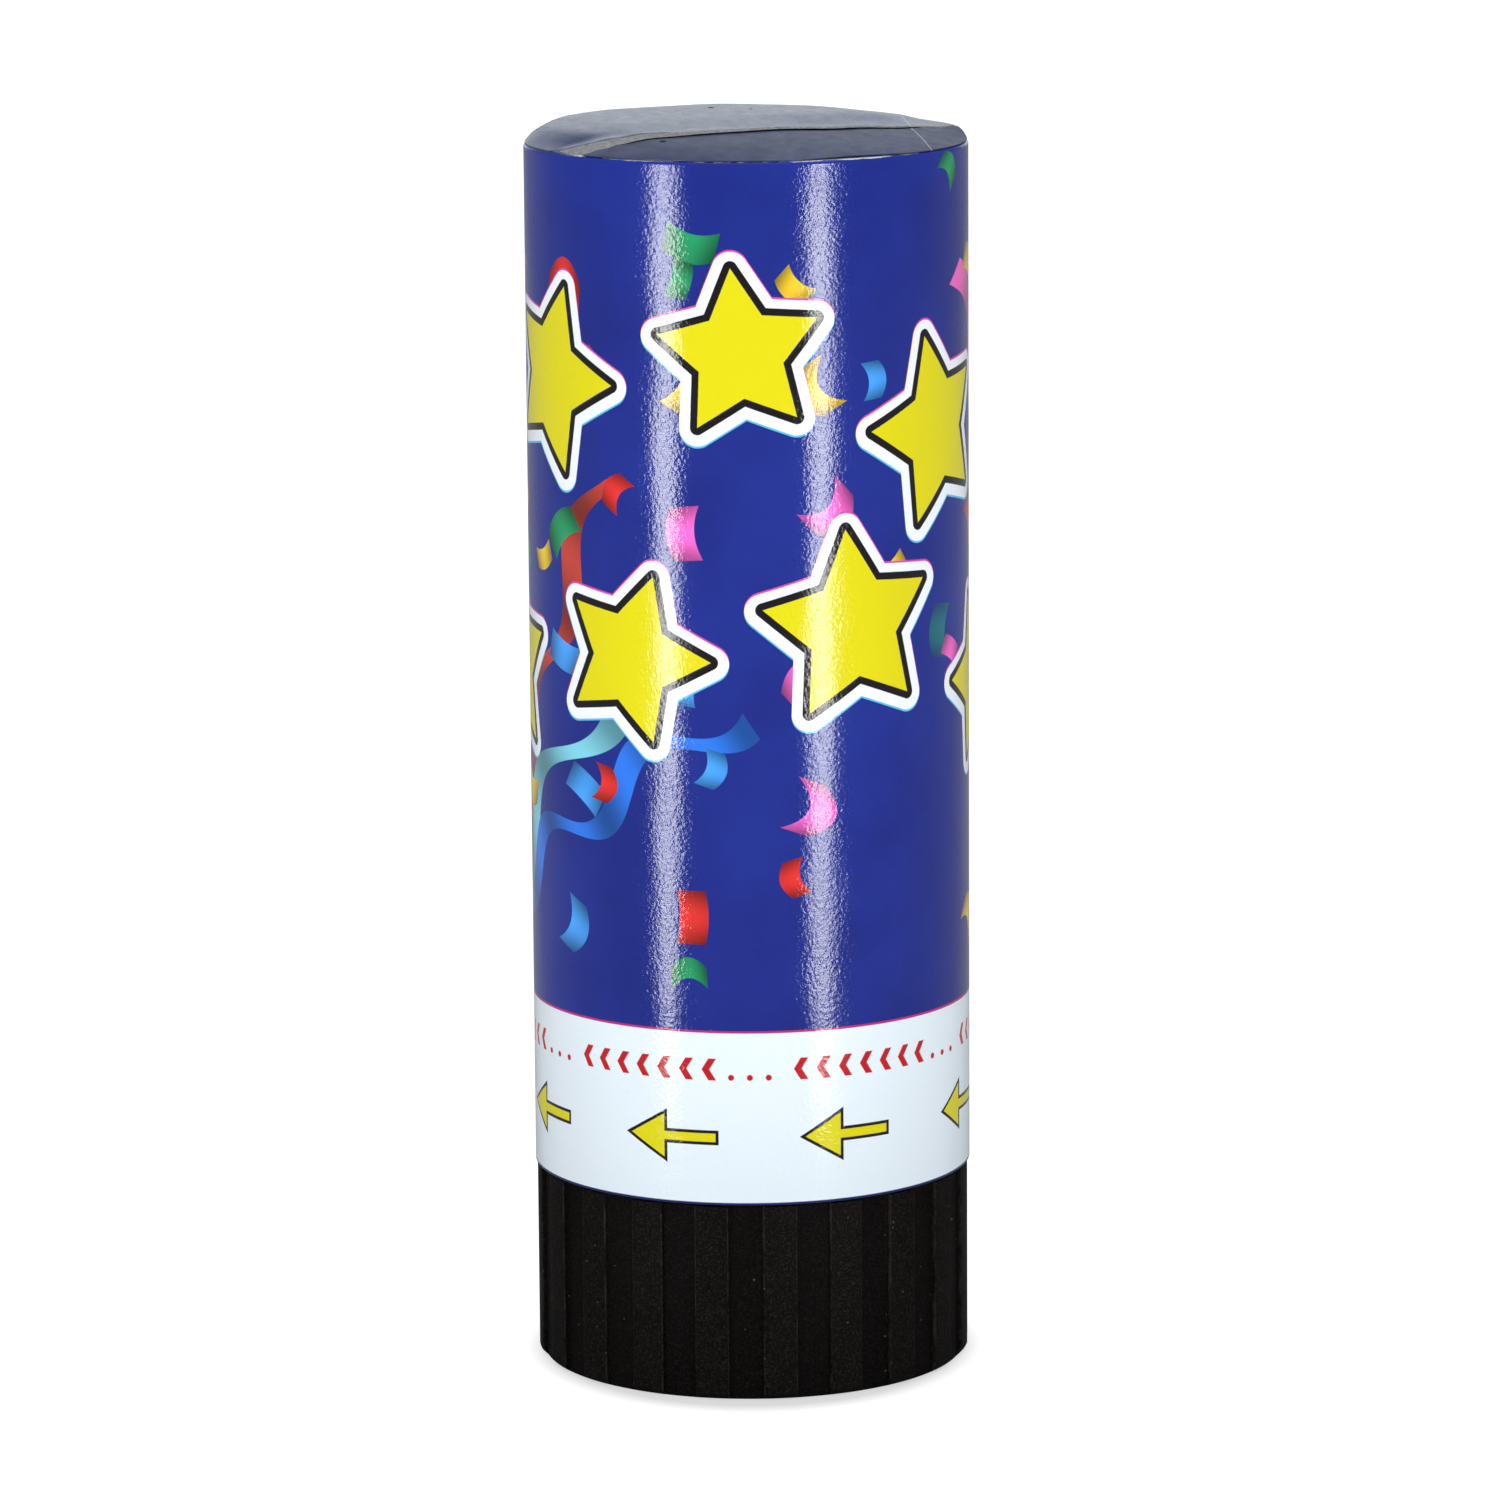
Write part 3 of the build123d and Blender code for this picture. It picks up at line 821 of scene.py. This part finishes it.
grey_board, place, surface = new_material("grey_board", Roughness=0.85)
fibres = noise(place * (1.0, 1.0, 5.0), 2.2, 5.0, 0.7)
board = paint(fit(fibres, 0.3, 0.7), ink(98, 100, 104), ink(150, 151, 150))
coat(surface, board, height=fibres, strength=0.5, depth=0.1)
print("lid finishes ready")

# %% [markdown]
# ## The lid flaps
# Each flap starts as a flat disc that Bisect cuts along the hinge line and along its free edge, then
# into a fine grid, so that it can bend. Solidify gives the card its thickness while it is still flat. The
# grid's points are then lifted to the shape of a card that has sprung up in the middle and lies down at
# the rim. A bend modifier would bend the whole card evenly, but the real one rises more at one end.

# %% Helpers that cut and bend a flap
lid_radius = 18.88
hinge_bearing = radians(119.6)
hinge_way = Vector((cos(hinge_bearing), sin(hinge_bearing), 0))
side_way = Vector((hinge_way.y, -hinge_way.x, 0))
root_chord = 18.1


def on_lid(point):
    """A point of the lid in millimetres along the fold and towards the back hinge."""
    flat = Vector((point[0], point[1], 0)) / MM
    return flat.dot(side_way), flat.dot(hinge_way)


def cut(way, distance, away=False):
    """Cuts the whole piece along a straight line of the lid, and drops what lies beyond it if asked to."""
    bpy.ops.mesh.select_all(action="SELECT")
    middle = way * distance * MM + Vector((0, 0, rim_height * MM))
    bpy.ops.mesh.bisect(plane_co=middle, plane_no=way, clear_outer=away)


def flat_flap(name, back, front):
    """A flat piece of the lid's disc between two lines across it."""
    disc = {"vertices": 180, "radius": lid_radius * MM, "fill_type": "NGON"}
    piece = new_piece(name, bpy.ops.mesh.primitive_circle_add, place=(0, 0, rim_height), **disc)
    cut(hinge_way, back, away=True)
    cut(-hinge_way, -front, away=True)
    return piece


def grid_cuts(low, high, step=1.0):
    """Cuts a flap between two lines into a grid, so that it can bend."""
    for number in range(1, int(2 * lid_radius / step)):
        cut(side_way, number * step - lid_radius)
    for number in range(1, int((high - low) / step)):
        cut(hinge_way, low + number * step)


def along_curve(knots, value):
    """A smooth height between measured ones."""
    for (low, low_height), (high, high_height) in zip(knots, knots[1:]):
        if value <= high:
            return low_height + ease((value - low) / (high - low)) * (high_height - low_height)
    return knots[-1][1]


def ease(share):
    """Runs from 0 to 1 and is level at both ends."""
    share = min(1.0, max(0.0, share))
    return share * share * (3 - 2 * share)


def near_rim(along, inward, steepness):
    """1 over most of the lid, falling to 0 at the rim and at the hinges."""
    return 1 - min(1.0, max(hypot(along, inward) / lid_radius, abs(inward) / root_chord)) ** steepness


def bend_card(piece, top_at, card_at, facing, free_edge):
    """Thickens a flat flap downwards, with bare board below and on the cut, and lifts it into shape."""
    piece.data.materials.append(facing)
    piece.data.materials.append(grey_board)
    bpy.ops.object.mode_set(mode="OBJECT")
    card = piece.vertex_groups.new(name="card")
    for point in piece.data.vertices:
        card.add([point.index], card_at(*on_lid(point.co)) / thickest_card, "REPLACE")
    faced = {"material_offset": 1, "material_offset_rim": 1, "vertex_group": card.name}
    apply_modifier(piece, "SOLIDIFY", thickness=thickest_card * MM, offset=-1.0, **faced)
    piece.vertex_groups.clear()
    for point in piece.data.vertices:
        point.co.z += top_at(*on_lid(point.co)) * MM
    bpy.ops.object.mode_set(mode="EDIT")

    def at_the_rim(face):
        along, inward = on_lid(face.calc_center_median())
        outside = hypot(along, inward) > lid_radius - rim_roll or abs(inward) > root_chord - rim_roll
        bare_side = face.material_index == 1 and face.normal.z > -0.5
        return bare_side and outside and abs(inward - free_edge) > edge_reach

    count = pick(piece, "FACE", at_the_rim)
    piece.active_material_index = 0
    bpy.ops.object.material_slot_assign()
    print(piece.name, "keeps its facing on", count, "faces at the rim")


thickest_card, rim_roll, edge_reach = 0.7, 0.7, 0.25

# %% Back flap
back_reach = 4.1
back_card, back_gap = 0.5, -0.05
edge_knots = (
    (-18.6, 0.1), (-16.4, 0.5), (-14.8, 0.8), (-11.2, 1.14), (-5.0, 1.25), (0.0, 1.26), (8.0, 0.99),
    (14.0, 0.72), (18.6, 0.4),
)
card_knots = (
    (-18.6, 0.5), (-15.0, 0.45), (-12.0, 0.36), (-9.3, 0.29), (-2.4, 0.19), (7.0, 0.14), (18.6, 0.12),
)
crown_knots = (
    (-18.6, 0.8), (-14.5, 1.45), (-10.0, 1.74), (-3.0, 1.77), (5.0, 1.76), (12.0, 1.62), (16.7, 1.3),
    (18.6, 1.0),
)
rim_knots = ((-18.6, 0.13), (8.0, 0.13), (13.0, 0.28), (16.0, 0.52), (18.6, 0.68))
lip_width = 8.0
steepness_behind, softer_front, softer_left, front_reach, left_reach = 22, 10, 6.0, 10, 3
card_steepness = 30
back_flap = flat_flap("back_lid_flap", root_chord, -back_reach)
grid_cuts(-back_reach, root_chord)


def back_top(along, inward):
    """How high the back flap's upper face lies above the rim. Behind its lip it dips to the front rim."""
    lip_top = along_curve(edge_knots, along) + along_curve(card_knots, along)
    top = lip_top + (along_curve(crown_knots, along) - lip_top) * ease((inward + back_reach) / lip_width)
    towards_front = ease(-(along * side_way.y + inward * hinge_way.y) / front_reach)
    softer = softer_front + softer_left * ease((inward + back_reach) / left_reach)
    steepness = steepness_behind - softer * towards_front
    rim_top = along_curve(rim_knots, along)
    return rim_top + max(0.0, top - rim_top) * near_rim(along, inward, steepness)


def down_to_rim(at_rim, inside, along, inward):
    """The card's thickness: one inside, and another at the rim, where it reaches down to the tube."""
    return at_rim + (inside - at_rim) * near_rim(along, inward, card_steepness)


def back_thickness(along, inward):
    at_lip = along_curve(card_knots, along)
    inside = at_lip + (back_card - at_lip) * ease((inward + back_reach) / lip_width)
    return down_to_rim(along_curve(rim_knots, along) - back_gap, inside, along, inward)


bend_card(back_flap, back_top, back_thickness, lid_facing, -back_reach)

# %% [markdown]
# The back flap's free edge was crushed by the cutting die: its cut face slopes, widely at the left end and
# less and less towards the right, so that it shows as a grey band. Moving only the upper points
# back from the edge, more at the left, slopes the cut and leaves the underside straight.

# %% Slope the cut edge
cut_knots = ((-18.6, 3.5), (-16.4, 1.9), (-14.4, 0.75), (-12.5, 0.6), (-8.0, 0.32), (2.0, 0.2), (18.6, 0.06))
slope_reach = 5.0
mesh = bmesh.from_edit_mesh(back_flap.data)
for point in mesh.verts:
    along, inward = on_lid(point.co)
    below_top = rim_height + back_top(along, inward) - point.co.z / MM
    if below_top < back_thickness(along, inward) / 2 and inward < slope_reach - back_reach:
        share = 1 - (inward + back_reach) / slope_reach
        move = hinge_way * along_curve(cut_knots, along) * share * MM
        point.co += move * min(1.0, lid_radius / off_axis(point.co + move))
bmesh.update_edit_mesh(back_flap.data)
face_outwards()
end_piece(back_flap, lid_facing, "back_flap", ["lid_flap_back"], smooth=35)

# %% Front flap with its tongue
front_card, front_gap = 0.3, 0.05
front_edge = -4.4
tongue_half, tongue_end, tongue_corner = 9.0, -0.5, 3.0
front_flap = flat_flap("front_lid_flap", tongue_end, -root_chord)
for way, distance in ((hinge_way, front_edge), (side_way, tongue_half), (side_way, -tongue_half)):
    cut(way, distance)


def beside_tongue(face):
    along, inward = on_lid(face.calc_center_median())
    return abs(along) > tongue_half and inward > front_edge


def tongue_tip(point):
    along, inward = on_lid(point.co)
    return abs(inward - tongue_end) < 0.01 and abs(abs(along) - tongue_half) < 0.01


pick(front_flap, "FACE", beside_tongue)
bpy.ops.mesh.delete(type="FACE")
corners = pick(front_flap, "VERT", tongue_tip)
bpy.ops.mesh.bevel(offset=tongue_corner * MM, segments=6, affect="VERTICES")
grid_cuts(-root_chord, tongue_end)
front_rim, front_bow = 0.13, 1.7
gap_knots = (
    (-18.6, 0.03), (-12.0, 0.06), (-6.0, 0.12), (6.0, 0.14), (12.0, 0.09), (16.0, 0.03), (18.6, 0.02),
)
lifted_from, lifted_over = -9.5, 5.0


def front_rim_top(along, inward):
    """The front flap's height at the rim. At the right end it stays up with the back flap."""
    lifted = max(front_rim, along_curve(rim_knots, along) - along_curve(gap_knots, along))
    return front_rim + (lifted - front_rim) * ease((inward - lifted_from) / lifted_over)


def front_top(along, inward):
    """How high the front flap's upper face lies: just under the back flap, and bowed down to the rim."""
    rim_top = front_rim_top(along, inward)
    below_back = max(rim_top, along_curve(edge_knots, along) - along_curve(gap_knots, along))
    to_rim = max(0.01, sqrt(max(0.0, lid_radius**2 - along**2)) + front_edge)
    share = min(1.0, max(0.0, (front_edge - inward) / to_rim))
    return rim_top + (below_back - rim_top) * (1 - share**front_bow)


def front_thickness(along, inward):
    return down_to_rim(front_rim_top(along, inward) - front_gap, front_card, along, inward)


bend_card(front_flap, front_top, front_thickness, front_facing, front_edge)
face_outwards()
end_piece(front_flap, front_facing, "front_flap", ["lid_flap_front"], smooth=35)
print("tongue corners rounded:", corners)

# %% [markdown]
# ## The twist base
# The base is a moulded cup of matt black plastic with twenty broad ribs for the fingers. Its skin is finely
# grained, and it carries pale specks. Its rib edges are painted pale, partly as rubbed wear and partly as a
# painted highlight, and the ribs are painted lighter than the grooves, partly as rubbed wear on the ribs and
# partly as painted shade in the grooves. Grain is shared by every moulded piece of the popper, so it is a
# group: a fine noise for the height, and a slower one for how shiny it is.

# %% Moulded grain and black plastic
moulded_grain, given, result = new_group("moulded_grain", "Place Fineness Matt", "Height Roughness Tone")
fine = noise(given["Place"], given["Fineness"], 3.0, 0.65)
slow = noise(given["Place"], 0.35, 4.0, 0.6)
streaks = noise(given["Place"] * (1.0, 1.0, 0.12), 0.9, 3.0)
join(slow * 0.3 + fine, result["Height"])
join(slow * 0.25 + given["Matt"], result["Roughness"])
join(streaks * 0.5 + fine * 0.5, result["Tone"])

black_plastic, place, surface = new_material("black_plastic", IOR=1.38, Specular_IOR_Level=0.1)
grain = group(moulded_grain, {"Place": place, "Fineness": 3.4, "Matt": 0.5})
cap_x, cap_y, _ = axes(place)
rib_count = 20
rib_bearing = 7.0
rib_angle = calc("ARCTAN2", cap_y, cap_x) - radians(rib_bearing)
in_ribs = rib_angle * (rib_count / pi) + 0.5
rib_number = calc("FLOOR", in_ribs) % (2.0 * rib_count)
rib_tone = make("ShaderNodeTexWhiteNoise", {"W": rib_number}, 0, noise_dimensions="1D")
on_rib = 1.0 - rib_number % 2.0
# The ribs are painted lighter than the grooves. This is partly rubbed wear on the ribs and partly painted
# shade in the grooves.
tone_and_groove_shade = rib_tone * 0.35 + grain["Tone"] * 0.45 + on_rib * 0.25
plastic = paint(tone_and_groove_shade, ink(3, 2, 2), ink(15, 12, 10))
far_out = vector("LENGTH", xyz(cap_x, cap_y))
mottle = both(fit(noise(place, 5.5, 3.0, 0.7), 0.48, 0.74), fit(far_out, 18.3, 18.8, 0.35, 1.0))
plastic = paint(mottle * 0.5, plastic, ink(60, 55, 51))
# A thin pale line at each rib edge is partly rubbed wear and partly a painted highlight of the rounded edge.
from_edge = 0.5 - abs(calc("FRACT", in_ribs) - 0.5)
edge_wear_and_highlight = fit(noise(place * (1.0, 1.0, 0.4), 1.4, 4.0, 0.7), 0.4, 0.65)
edge_wear_and_highlight = both(inside(from_edge, 0.035, 0.02), on_rib, edge_wear_and_highlight)
plastic = paint(edge_wear_and_highlight * 0.45, plastic, ink(66, 62, 58))
plastic = paint(dust_on(place, 0.8, 0.11, 0.16) * 0.5, plastic, ink(104, 98, 92))
plastic = paint(dust_on(place, 2.1, 0.05, 0.26) * 0.6, plastic, ink(140, 132, 124))
coat(surface, plastic, grain["Roughness"], grain["Height"], strength=0.6, depth=0.08)
print("black plastic:", len(black_plastic.node_tree.nodes), "nodes")

# %% [markdown]
# The cup starts as a cylinder with sixteen sides to each rib and groove pair. The faces of the ribs are
# extruded and scaled away from the axis, their edges are bevelled so that they catch the light, and
# the two ends are worked by Inset and Extrude: the hollow for the mechanism above, and the recess
# with its moulding gate below.

# %% Ribs
sides_per_rib = 16
cap_height = 17.0
groove_radius, rib_radius = 18.45, 18.85
rib_pitch = 360 / rib_count
cap = new_piece(
    "ribbed_twist_cap",
    bpy.ops.mesh.primitive_cylinder_add,
    place=(0, 0, cap_height / 2),
    turn=(0, 0, radians(rib_bearing)),
    vertices=rib_count * sides_per_rib,
    radius=groove_radius * MM,
    depth=cap_height * MM,
)


def off_rib(point):
    """How far a point is from the middle line of the nearest rib, in degrees."""
    return abs((bearing_of(point) - rib_bearing + rib_pitch / 2) % rib_pitch - rib_pitch / 2)


def upright(face):
    return abs(face.normal.z) < 0.1


faces = pick(cap, "FACE", lambda f: upright(f) and off_rib(f.calc_center_median()) < rib_pitch / 4)
push_out(rib_radius / groove_radius)
print("ribs:", rib_count, "from", faces, "faces")

# %% [markdown]
# At the foot the ribs run out into a cone, so that the cup stands on a plain ring. A cut all round, half a
# millimetre up, keeps the sides above it straight, and the points below it are scaled in to
# that ring, where the ribs' corners meet the grooves' and are merged.

# %% Coned foot and rounded rib corners
foot_cone = 0.5
foot_radius = rib_radius - foot_cone
bpy.ops.mesh.select_all(action="SELECT")
bpy.ops.mesh.bisect(plane_co=(0, 0, foot_cone * MM), plane_no=(0, 0, 1))
for radius in (rib_radius, groove_radius):
    pick(cap, "VERT", lambda v: v.co.z < MM / 100 and abs(off_axis(v.co) - radius) < 0.01)
    grow(foot_radius / radius)
merge_doubles()


def rib_corner(edge):
    rise = abs(edge.verts[0].co.z - edge.verts[1].co.z)
    return rise > cap_height * MM / 2 and abs(off_rib(edge.verts[0].co) - rib_pitch / 4) < 0.2


corners = pick(cap, "EDGE", rib_corner)
rib_rounding = 0.11
bpy.ops.mesh.bevel(offset=rib_rounding * MM, segments=2, affect="EDGES")
print("rib corners rounded:", corners)

# %% Hollow, foot and rounded upper end
def inset_end(height, width, *moves):
    """Insets the big face at that height, then pushes it in or out in steps, all in millimetres."""
    def end_face(face):
        level = abs(face.calc_center_median().z / MM - height) < 0.01
        return level and abs(face.normal.z) > 0.9 and len(face.verts) > 100

    pick(cap, "FACE", end_face)
    bpy.ops.mesh.inset(thickness=width * MM)
    for move in moves:
        bpy.ops.mesh.extrude_region_move(TRANSFORM_OT_translate={"value": (0, 0, move * MM)})


cap_bore = 16.9
cup_lip, cup_floor = 1.4, 2.0
inset_end(cap_height, groove_radius - cap_bore, -cup_lip, cup_floor + cup_lip - cap_height)
foot_width, foot_recess = 2.6, 0.8
inset_end(0.0, foot_width, foot_recess)
gate_radius, gate_rise = 1.5, 0.35
inset_end(foot_recess, foot_radius - foot_width - gate_radius, -gate_rise)


def upper_outline(edge):
    """Whether the sides of the cap meet its upper end at this edge."""
    level = all(abs(v.co.z / MM - cap_height) < 0.01 for v in edge.verts)
    outer = min(off_axis(v.co) for v in edge.verts) > groove_radius - 0.05
    return level and outer and len(edge.link_faces) == 2 and sum(upright(f) for f in edge.link_faces) == 1


top_rounding = 0.12
count = pick(cap, "EDGE", upper_outline)
bpy.ops.mesh.bevel(offset=top_rounding * MM, segments=2, affect="EDGES", clamp_overlap=True)
print("cap's upper end: rounded", count, "edges")

# %% [markdown]
# Inside the cup six shallow pockets take the ribs of the core that the cap drives. They are made as the ribs
# were, from faces of the inner wall pushed outwards into it.

# %% Pockets for the drive ribs
drive_rib_count = 6
drive_pitch = 360 / drive_rib_count
pocket_radius = 17.5
pocket_half_width = 1.6
pocket_half = degrees(pocket_half_width / cap_bore)


def pocket_face(face):
    middle = face.calc_center_median()
    inner = abs(off_axis(middle) - cap_bore) < 0.05
    off = abs((bearing_of(middle) + drive_pitch / 2) % drive_pitch - drive_pitch / 2)
    return upright(face) and inner and middle.z < (cap_height - cup_lip) * MM and off < pocket_half


faces = pick(cap, "FACE", pocket_face)
push_out(pocket_radius / cap_bore)
merge_doubles(MM / 5000)
face_outwards()
end_piece(cap, black_plastic, "base", ["twist_cap"], smooth=30)
print("pockets:", drive_rib_count, "from", faces, "faces")

# %% [markdown]
# ## The mechanism
# The core, the collar and the piston are moulded in plain natural plastic, a little waxy and not quite white.
# They are hidden in the barrel most of the time, and their CAD shapes are right as they are, so they
# keep their meshes and get a finish. The same grain group gives them a finer, shinier skin.

# %% Natural plastic, card and chipboard
natural_plastic, place, surface = new_material(
    "natural_plastic", IOR=1.49, Subsurface_Weight=0.15, Subsurface_Radius=(0.002, 0.002, 0.0016)
)
grain = group(moulded_grain, {"Place": place, "Fineness": 5.0, "Matt": 0.22})
waxy = paint(grain["Tone"], ink(206, 204, 196), ink(232, 231, 226))
coat(surface, waxy, grain["Roughness"], grain["Height"], strength=0.3, depth=0.05)


def winding_card(name, light, dark, turns_apart, slope):
    """Brown card wound in a spiral: pulp fibres, and a fine dark line where one strip meets the next."""
    material, place, surface = new_material(name, Roughness=0.88)
    card_x, card_y, card_z = axes(place)
    climb = calc("ARCTAN2", card_y, card_x) * slope + card_z
    joint = inside(climb % turns_apart, 0.22, 0.12)
    pulp = noise(place * (1.0, 1.0, 0.5), 1.4, 6.0, 0.7)
    colour = paint(fit(pulp, 0.3, 0.7), dark, light)
    colour = paint(dust_on(place, 1.6, 0.1, 0.25) * 0.5, colour, ink(92, 72, 50))
    colour = paint(joint * 0.6, colour, ink(84, 66, 46))
    coat(surface, colour, height=joint * -0.8 + pulp, strength=0.6, depth=0.1)
    return material


strip_width = 38.0
strip_slope = strip_width / (2 * pi)
tube_card = winding_card("tube_card", ink(178, 150, 112), ink(150, 122, 86), strip_width, strip_slope)
wad_card = winding_card("wad_card", ink(160, 152, 140), ink(128, 120, 110), 400.0, 0.0)


def refinish(name, material):
    """Gives a CAD node a new finish and leaves its mesh alone."""
    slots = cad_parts[name].data.materials
    slots.clear()
    slots.append(material)


for name in ("latch_core", "guide_collar", "piston_cup"):
    refinish(name, natural_plastic)
refinish("paper_tube", tube_card)
refinish("wad_disc", wad_card)
print("mechanism finished")

# %% [markdown]
# ## The launch spring
# The spring is round steel wire, wound into a coil between the core and the piston. A small circle is set
# beside the axis and a Screw modifier carries it round and up, which is how a spring is wound. The
# open ends are filled as cut wire ends.

# %% Spring wire and coil
spring_steel, place, surface = new_material("spring_steel", Metallic=1.0)
drawn = noise(place * (0.4, 0.4, 6.0), 1.6, 4.0, 0.6)
oil = noise(place, 0.3, 3.0)
steel = paint(fit(drawn, 0.3, 0.7), ink(150, 152, 156), ink(196, 198, 202))
steel = paint(fit(oil, 0.55, 0.75, 0.0, 0.4), steel, ink(128, 118, 104))
coat(surface, steel, fit(drawn, 0.3, 0.7, 0.22, 0.38), drawn, strength=0.25, depth=0.05)

wire_diameter = 1.8
coil_radius = 10.6
coil_foot, coil_top = 4.75, 19.05
coil_turns = 4
wire_sides = 14
spring = new_piece(
    "steel_launch_spring",
    bpy.ops.mesh.primitive_circle_add,
    place=(coil_radius, 0, coil_foot),
    turn=(pi / 2, 0, 0),
    vertices=wire_sides,
    radius=wire_diameter * MM / 2,
)
bpy.ops.object.mode_set(mode="OBJECT")
steps_per_turn = 48
winding = {"steps": steps_per_turn, "render_steps": steps_per_turn, "iterations": coil_turns}
rise_per_turn = (coil_top - coil_foot) / coil_turns * MM
apply_modifier(spring, "SCREW", screw_offset=rise_per_turn, use_merge_vertices=False, **winding)
bpy.ops.object.mode_set(mode="EDIT")
ends = pick(spring, "EDGE", lambda edge: edge.is_boundary)
bpy.ops.mesh.edge_face_add()
face_outwards()
end_piece(spring, spring_steel, "barrel", ["launch_spring"], smooth=50)
print("spring:", coil_turns, "turns,", ends, "edges at its open ends")

# %% [markdown]
# ## The confetti
# The charge is metallic paper cut into short strips that keep the curl of the roll they came from. They lie
# in layers on the wad, four to a layer like a pinwheel and two to a layer in the heap on top, and the
# CAD model has one node for each colour in each of three charges. Each strip is modelled once as a thin
# grid, curled up or down and a little out of true, and is then copied into its places.

# %% Metallic paper
foil_crinkle, given, result = new_group("foil_crinkle", "Place Colour", "Colour Roughness Height")
crinkle = noise(given["Place"], 0.55, 3.0, 0.6)
pores = noise(given["Place"], 4.0, 2.0)
join(shade(given["Colour"], fit(crinkle, 0.3, 0.7, 0.78, 1.08)), result["Colour"])
join(fit(crinkle, 0.3, 0.7, 0.2, 0.36), result["Roughness"])
join(pores * 0.06 + crinkle, result["Height"])
foil_colours = {
    "red": ink(214, 40, 44),
    "gold": ink(232, 178, 48),
    "green": ink(34, 158, 88),
    "blue": ink(44, 104, 216),
    "pink": ink(228, 96, 176),
}
foils = {}
for colour, shown in foil_colours.items():
    foils[colour], place, surface = new_material(f"foil_{colour}", Metallic=0.75)
    foil = group(foil_crinkle, {"Place": place, "Colour": shown})
    coat(surface, foil["Colour"], foil["Roughness"], foil["Height"], strength=0.4, depth=0.3)
print("foils:", list(foils))

# %% One strip, curled in six ways
flake_length, flake_width, flake_curl, flake_card = 14.8, 6.6, 2.6, 0.12
strip_forms = (
    (False, 0.0, 0.10), (True, 0.10, -0.16), (True, -0.12, 0.14),
    (False, 0.08, -0.12), (True, 0.05, 0.2), (True, -0.06, -0.1),
)


def curled_strip(arched, skew, twist):
    """A strip as long and as wide as the CAD one, curled within its height."""
    grid = {"x_subdivisions": 16, "y_subdivisions": 4, "size": MM}
    strip = new_piece("confetti_strip", bpy.ops.mesh.primitive_grid_add, **grid)
    bpy.ops.transform.resize(value=(flake_length, flake_width, 1), center_override=(0, 0, 0))
    bpy.ops.object.mode_set(mode="OBJECT")
    spare = abs(twist)
    for point in strip.data.vertices:
        along = point.co.x / MM / (flake_length / 2)
        across = point.co.y / MM / (flake_width / 2)
        bow = min(1.0, (along - skew * (1 - along * along)) ** 2)
        rise = (1 - bow) if arched else bow
        point.co.z = (spare + rise * (flake_curl - 2 * spare) + twist * along * across) * MM
    apply_modifier(strip, "SOLIDIFY", thickness=flake_card * MM, offset=1.0)
    return strip


strips = [curled_strip(*form) for form in strip_forms]
print("strip forms:", len(strips), "with", len(strips[0].data.polygons), "faces each")

# %% [markdown]
# The places are those of the CAD model: every layer is turned by 33 degrees from the one below, and the
# colours follow one another. Copies of one colour in one charge are joined, so that they stand for one node.

# %% Lay the charges
flake_gap, flake_lane = 0.35, 1.2
flake_reach = 15.98
layer_foot, layer_pitch, layer_turn = 31.4, 3.2, 33.0
pinwheel_end = sqrt(flake_reach**2 - (flake_lane + flake_width) ** 2)
pinwheel_middle = ((flake_gap - flake_lane + pinwheel_end) / 2, flake_lane + flake_width / 2)
pair_middle = (0, (flake_gap + flake_width) / 2)
charges = ("low",) * 5 + ("mid",) * 5 + ("top",) * 4
laid = {}
number = 0
for layer, charge in enumerate(charges):
    places, middle = (2, pair_middle) if charge == "top" else (4, pinwheel_middle)
    for spot in range(places):
        bearing = radians(layer * layer_turn + spot * 360 / places)
        form = strips[number % len(strips)]
        strip = form.copy()
        strip.data = form.data.copy()
        bpy.context.scene.collection.objects.link(strip)
        lift_to = Matrix.Translation(Vector((middle[0], middle[1], layer_foot + layer * layer_pitch)) * MM)
        strip.data.transform(Matrix.Rotation(bearing, 4, "Z") @ lift_to)
        laid.setdefault((charge, list(foils)[number % len(foils)]), []).append(strip)
        number += 1
for (charge, colour), pieces in laid.items():
    bpy.ops.object.select_all(action="DESELECT")
    for strip in pieces:
        strip.select_set(True)
    bpy.context.view_layer.objects.active = pieces[0]
    if len(pieces) > 1:
        bpy.ops.object.join()
    heap = bpy.context.object
    heap.name = heap.data.name = f"foil_strips_{charge}_{colour}"
    replaced = [f"confetti_{charge}_{colour}"]
    end_piece(heap, foils[colour], f"{charge}_charge", replaced, smooth=50)
for strip in strips:
    bpy.data.objects.remove(strip)
print("strips laid:", number, "in", len(laid), "heaps")

# %% [markdown]
# ## Sizes
# The dressed model's box is measured and kept beside the CAD one. The dressed model may
# not be larger than the CAD one.

# %% Keep the sizes and finish
low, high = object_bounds()
sizes = {"cad": [list(cad_low), list(cad_high)], "visual": [list(low), list(high)]}
print("dressed box in mm:", [round(value / MM, 2) for value in (high - low)])
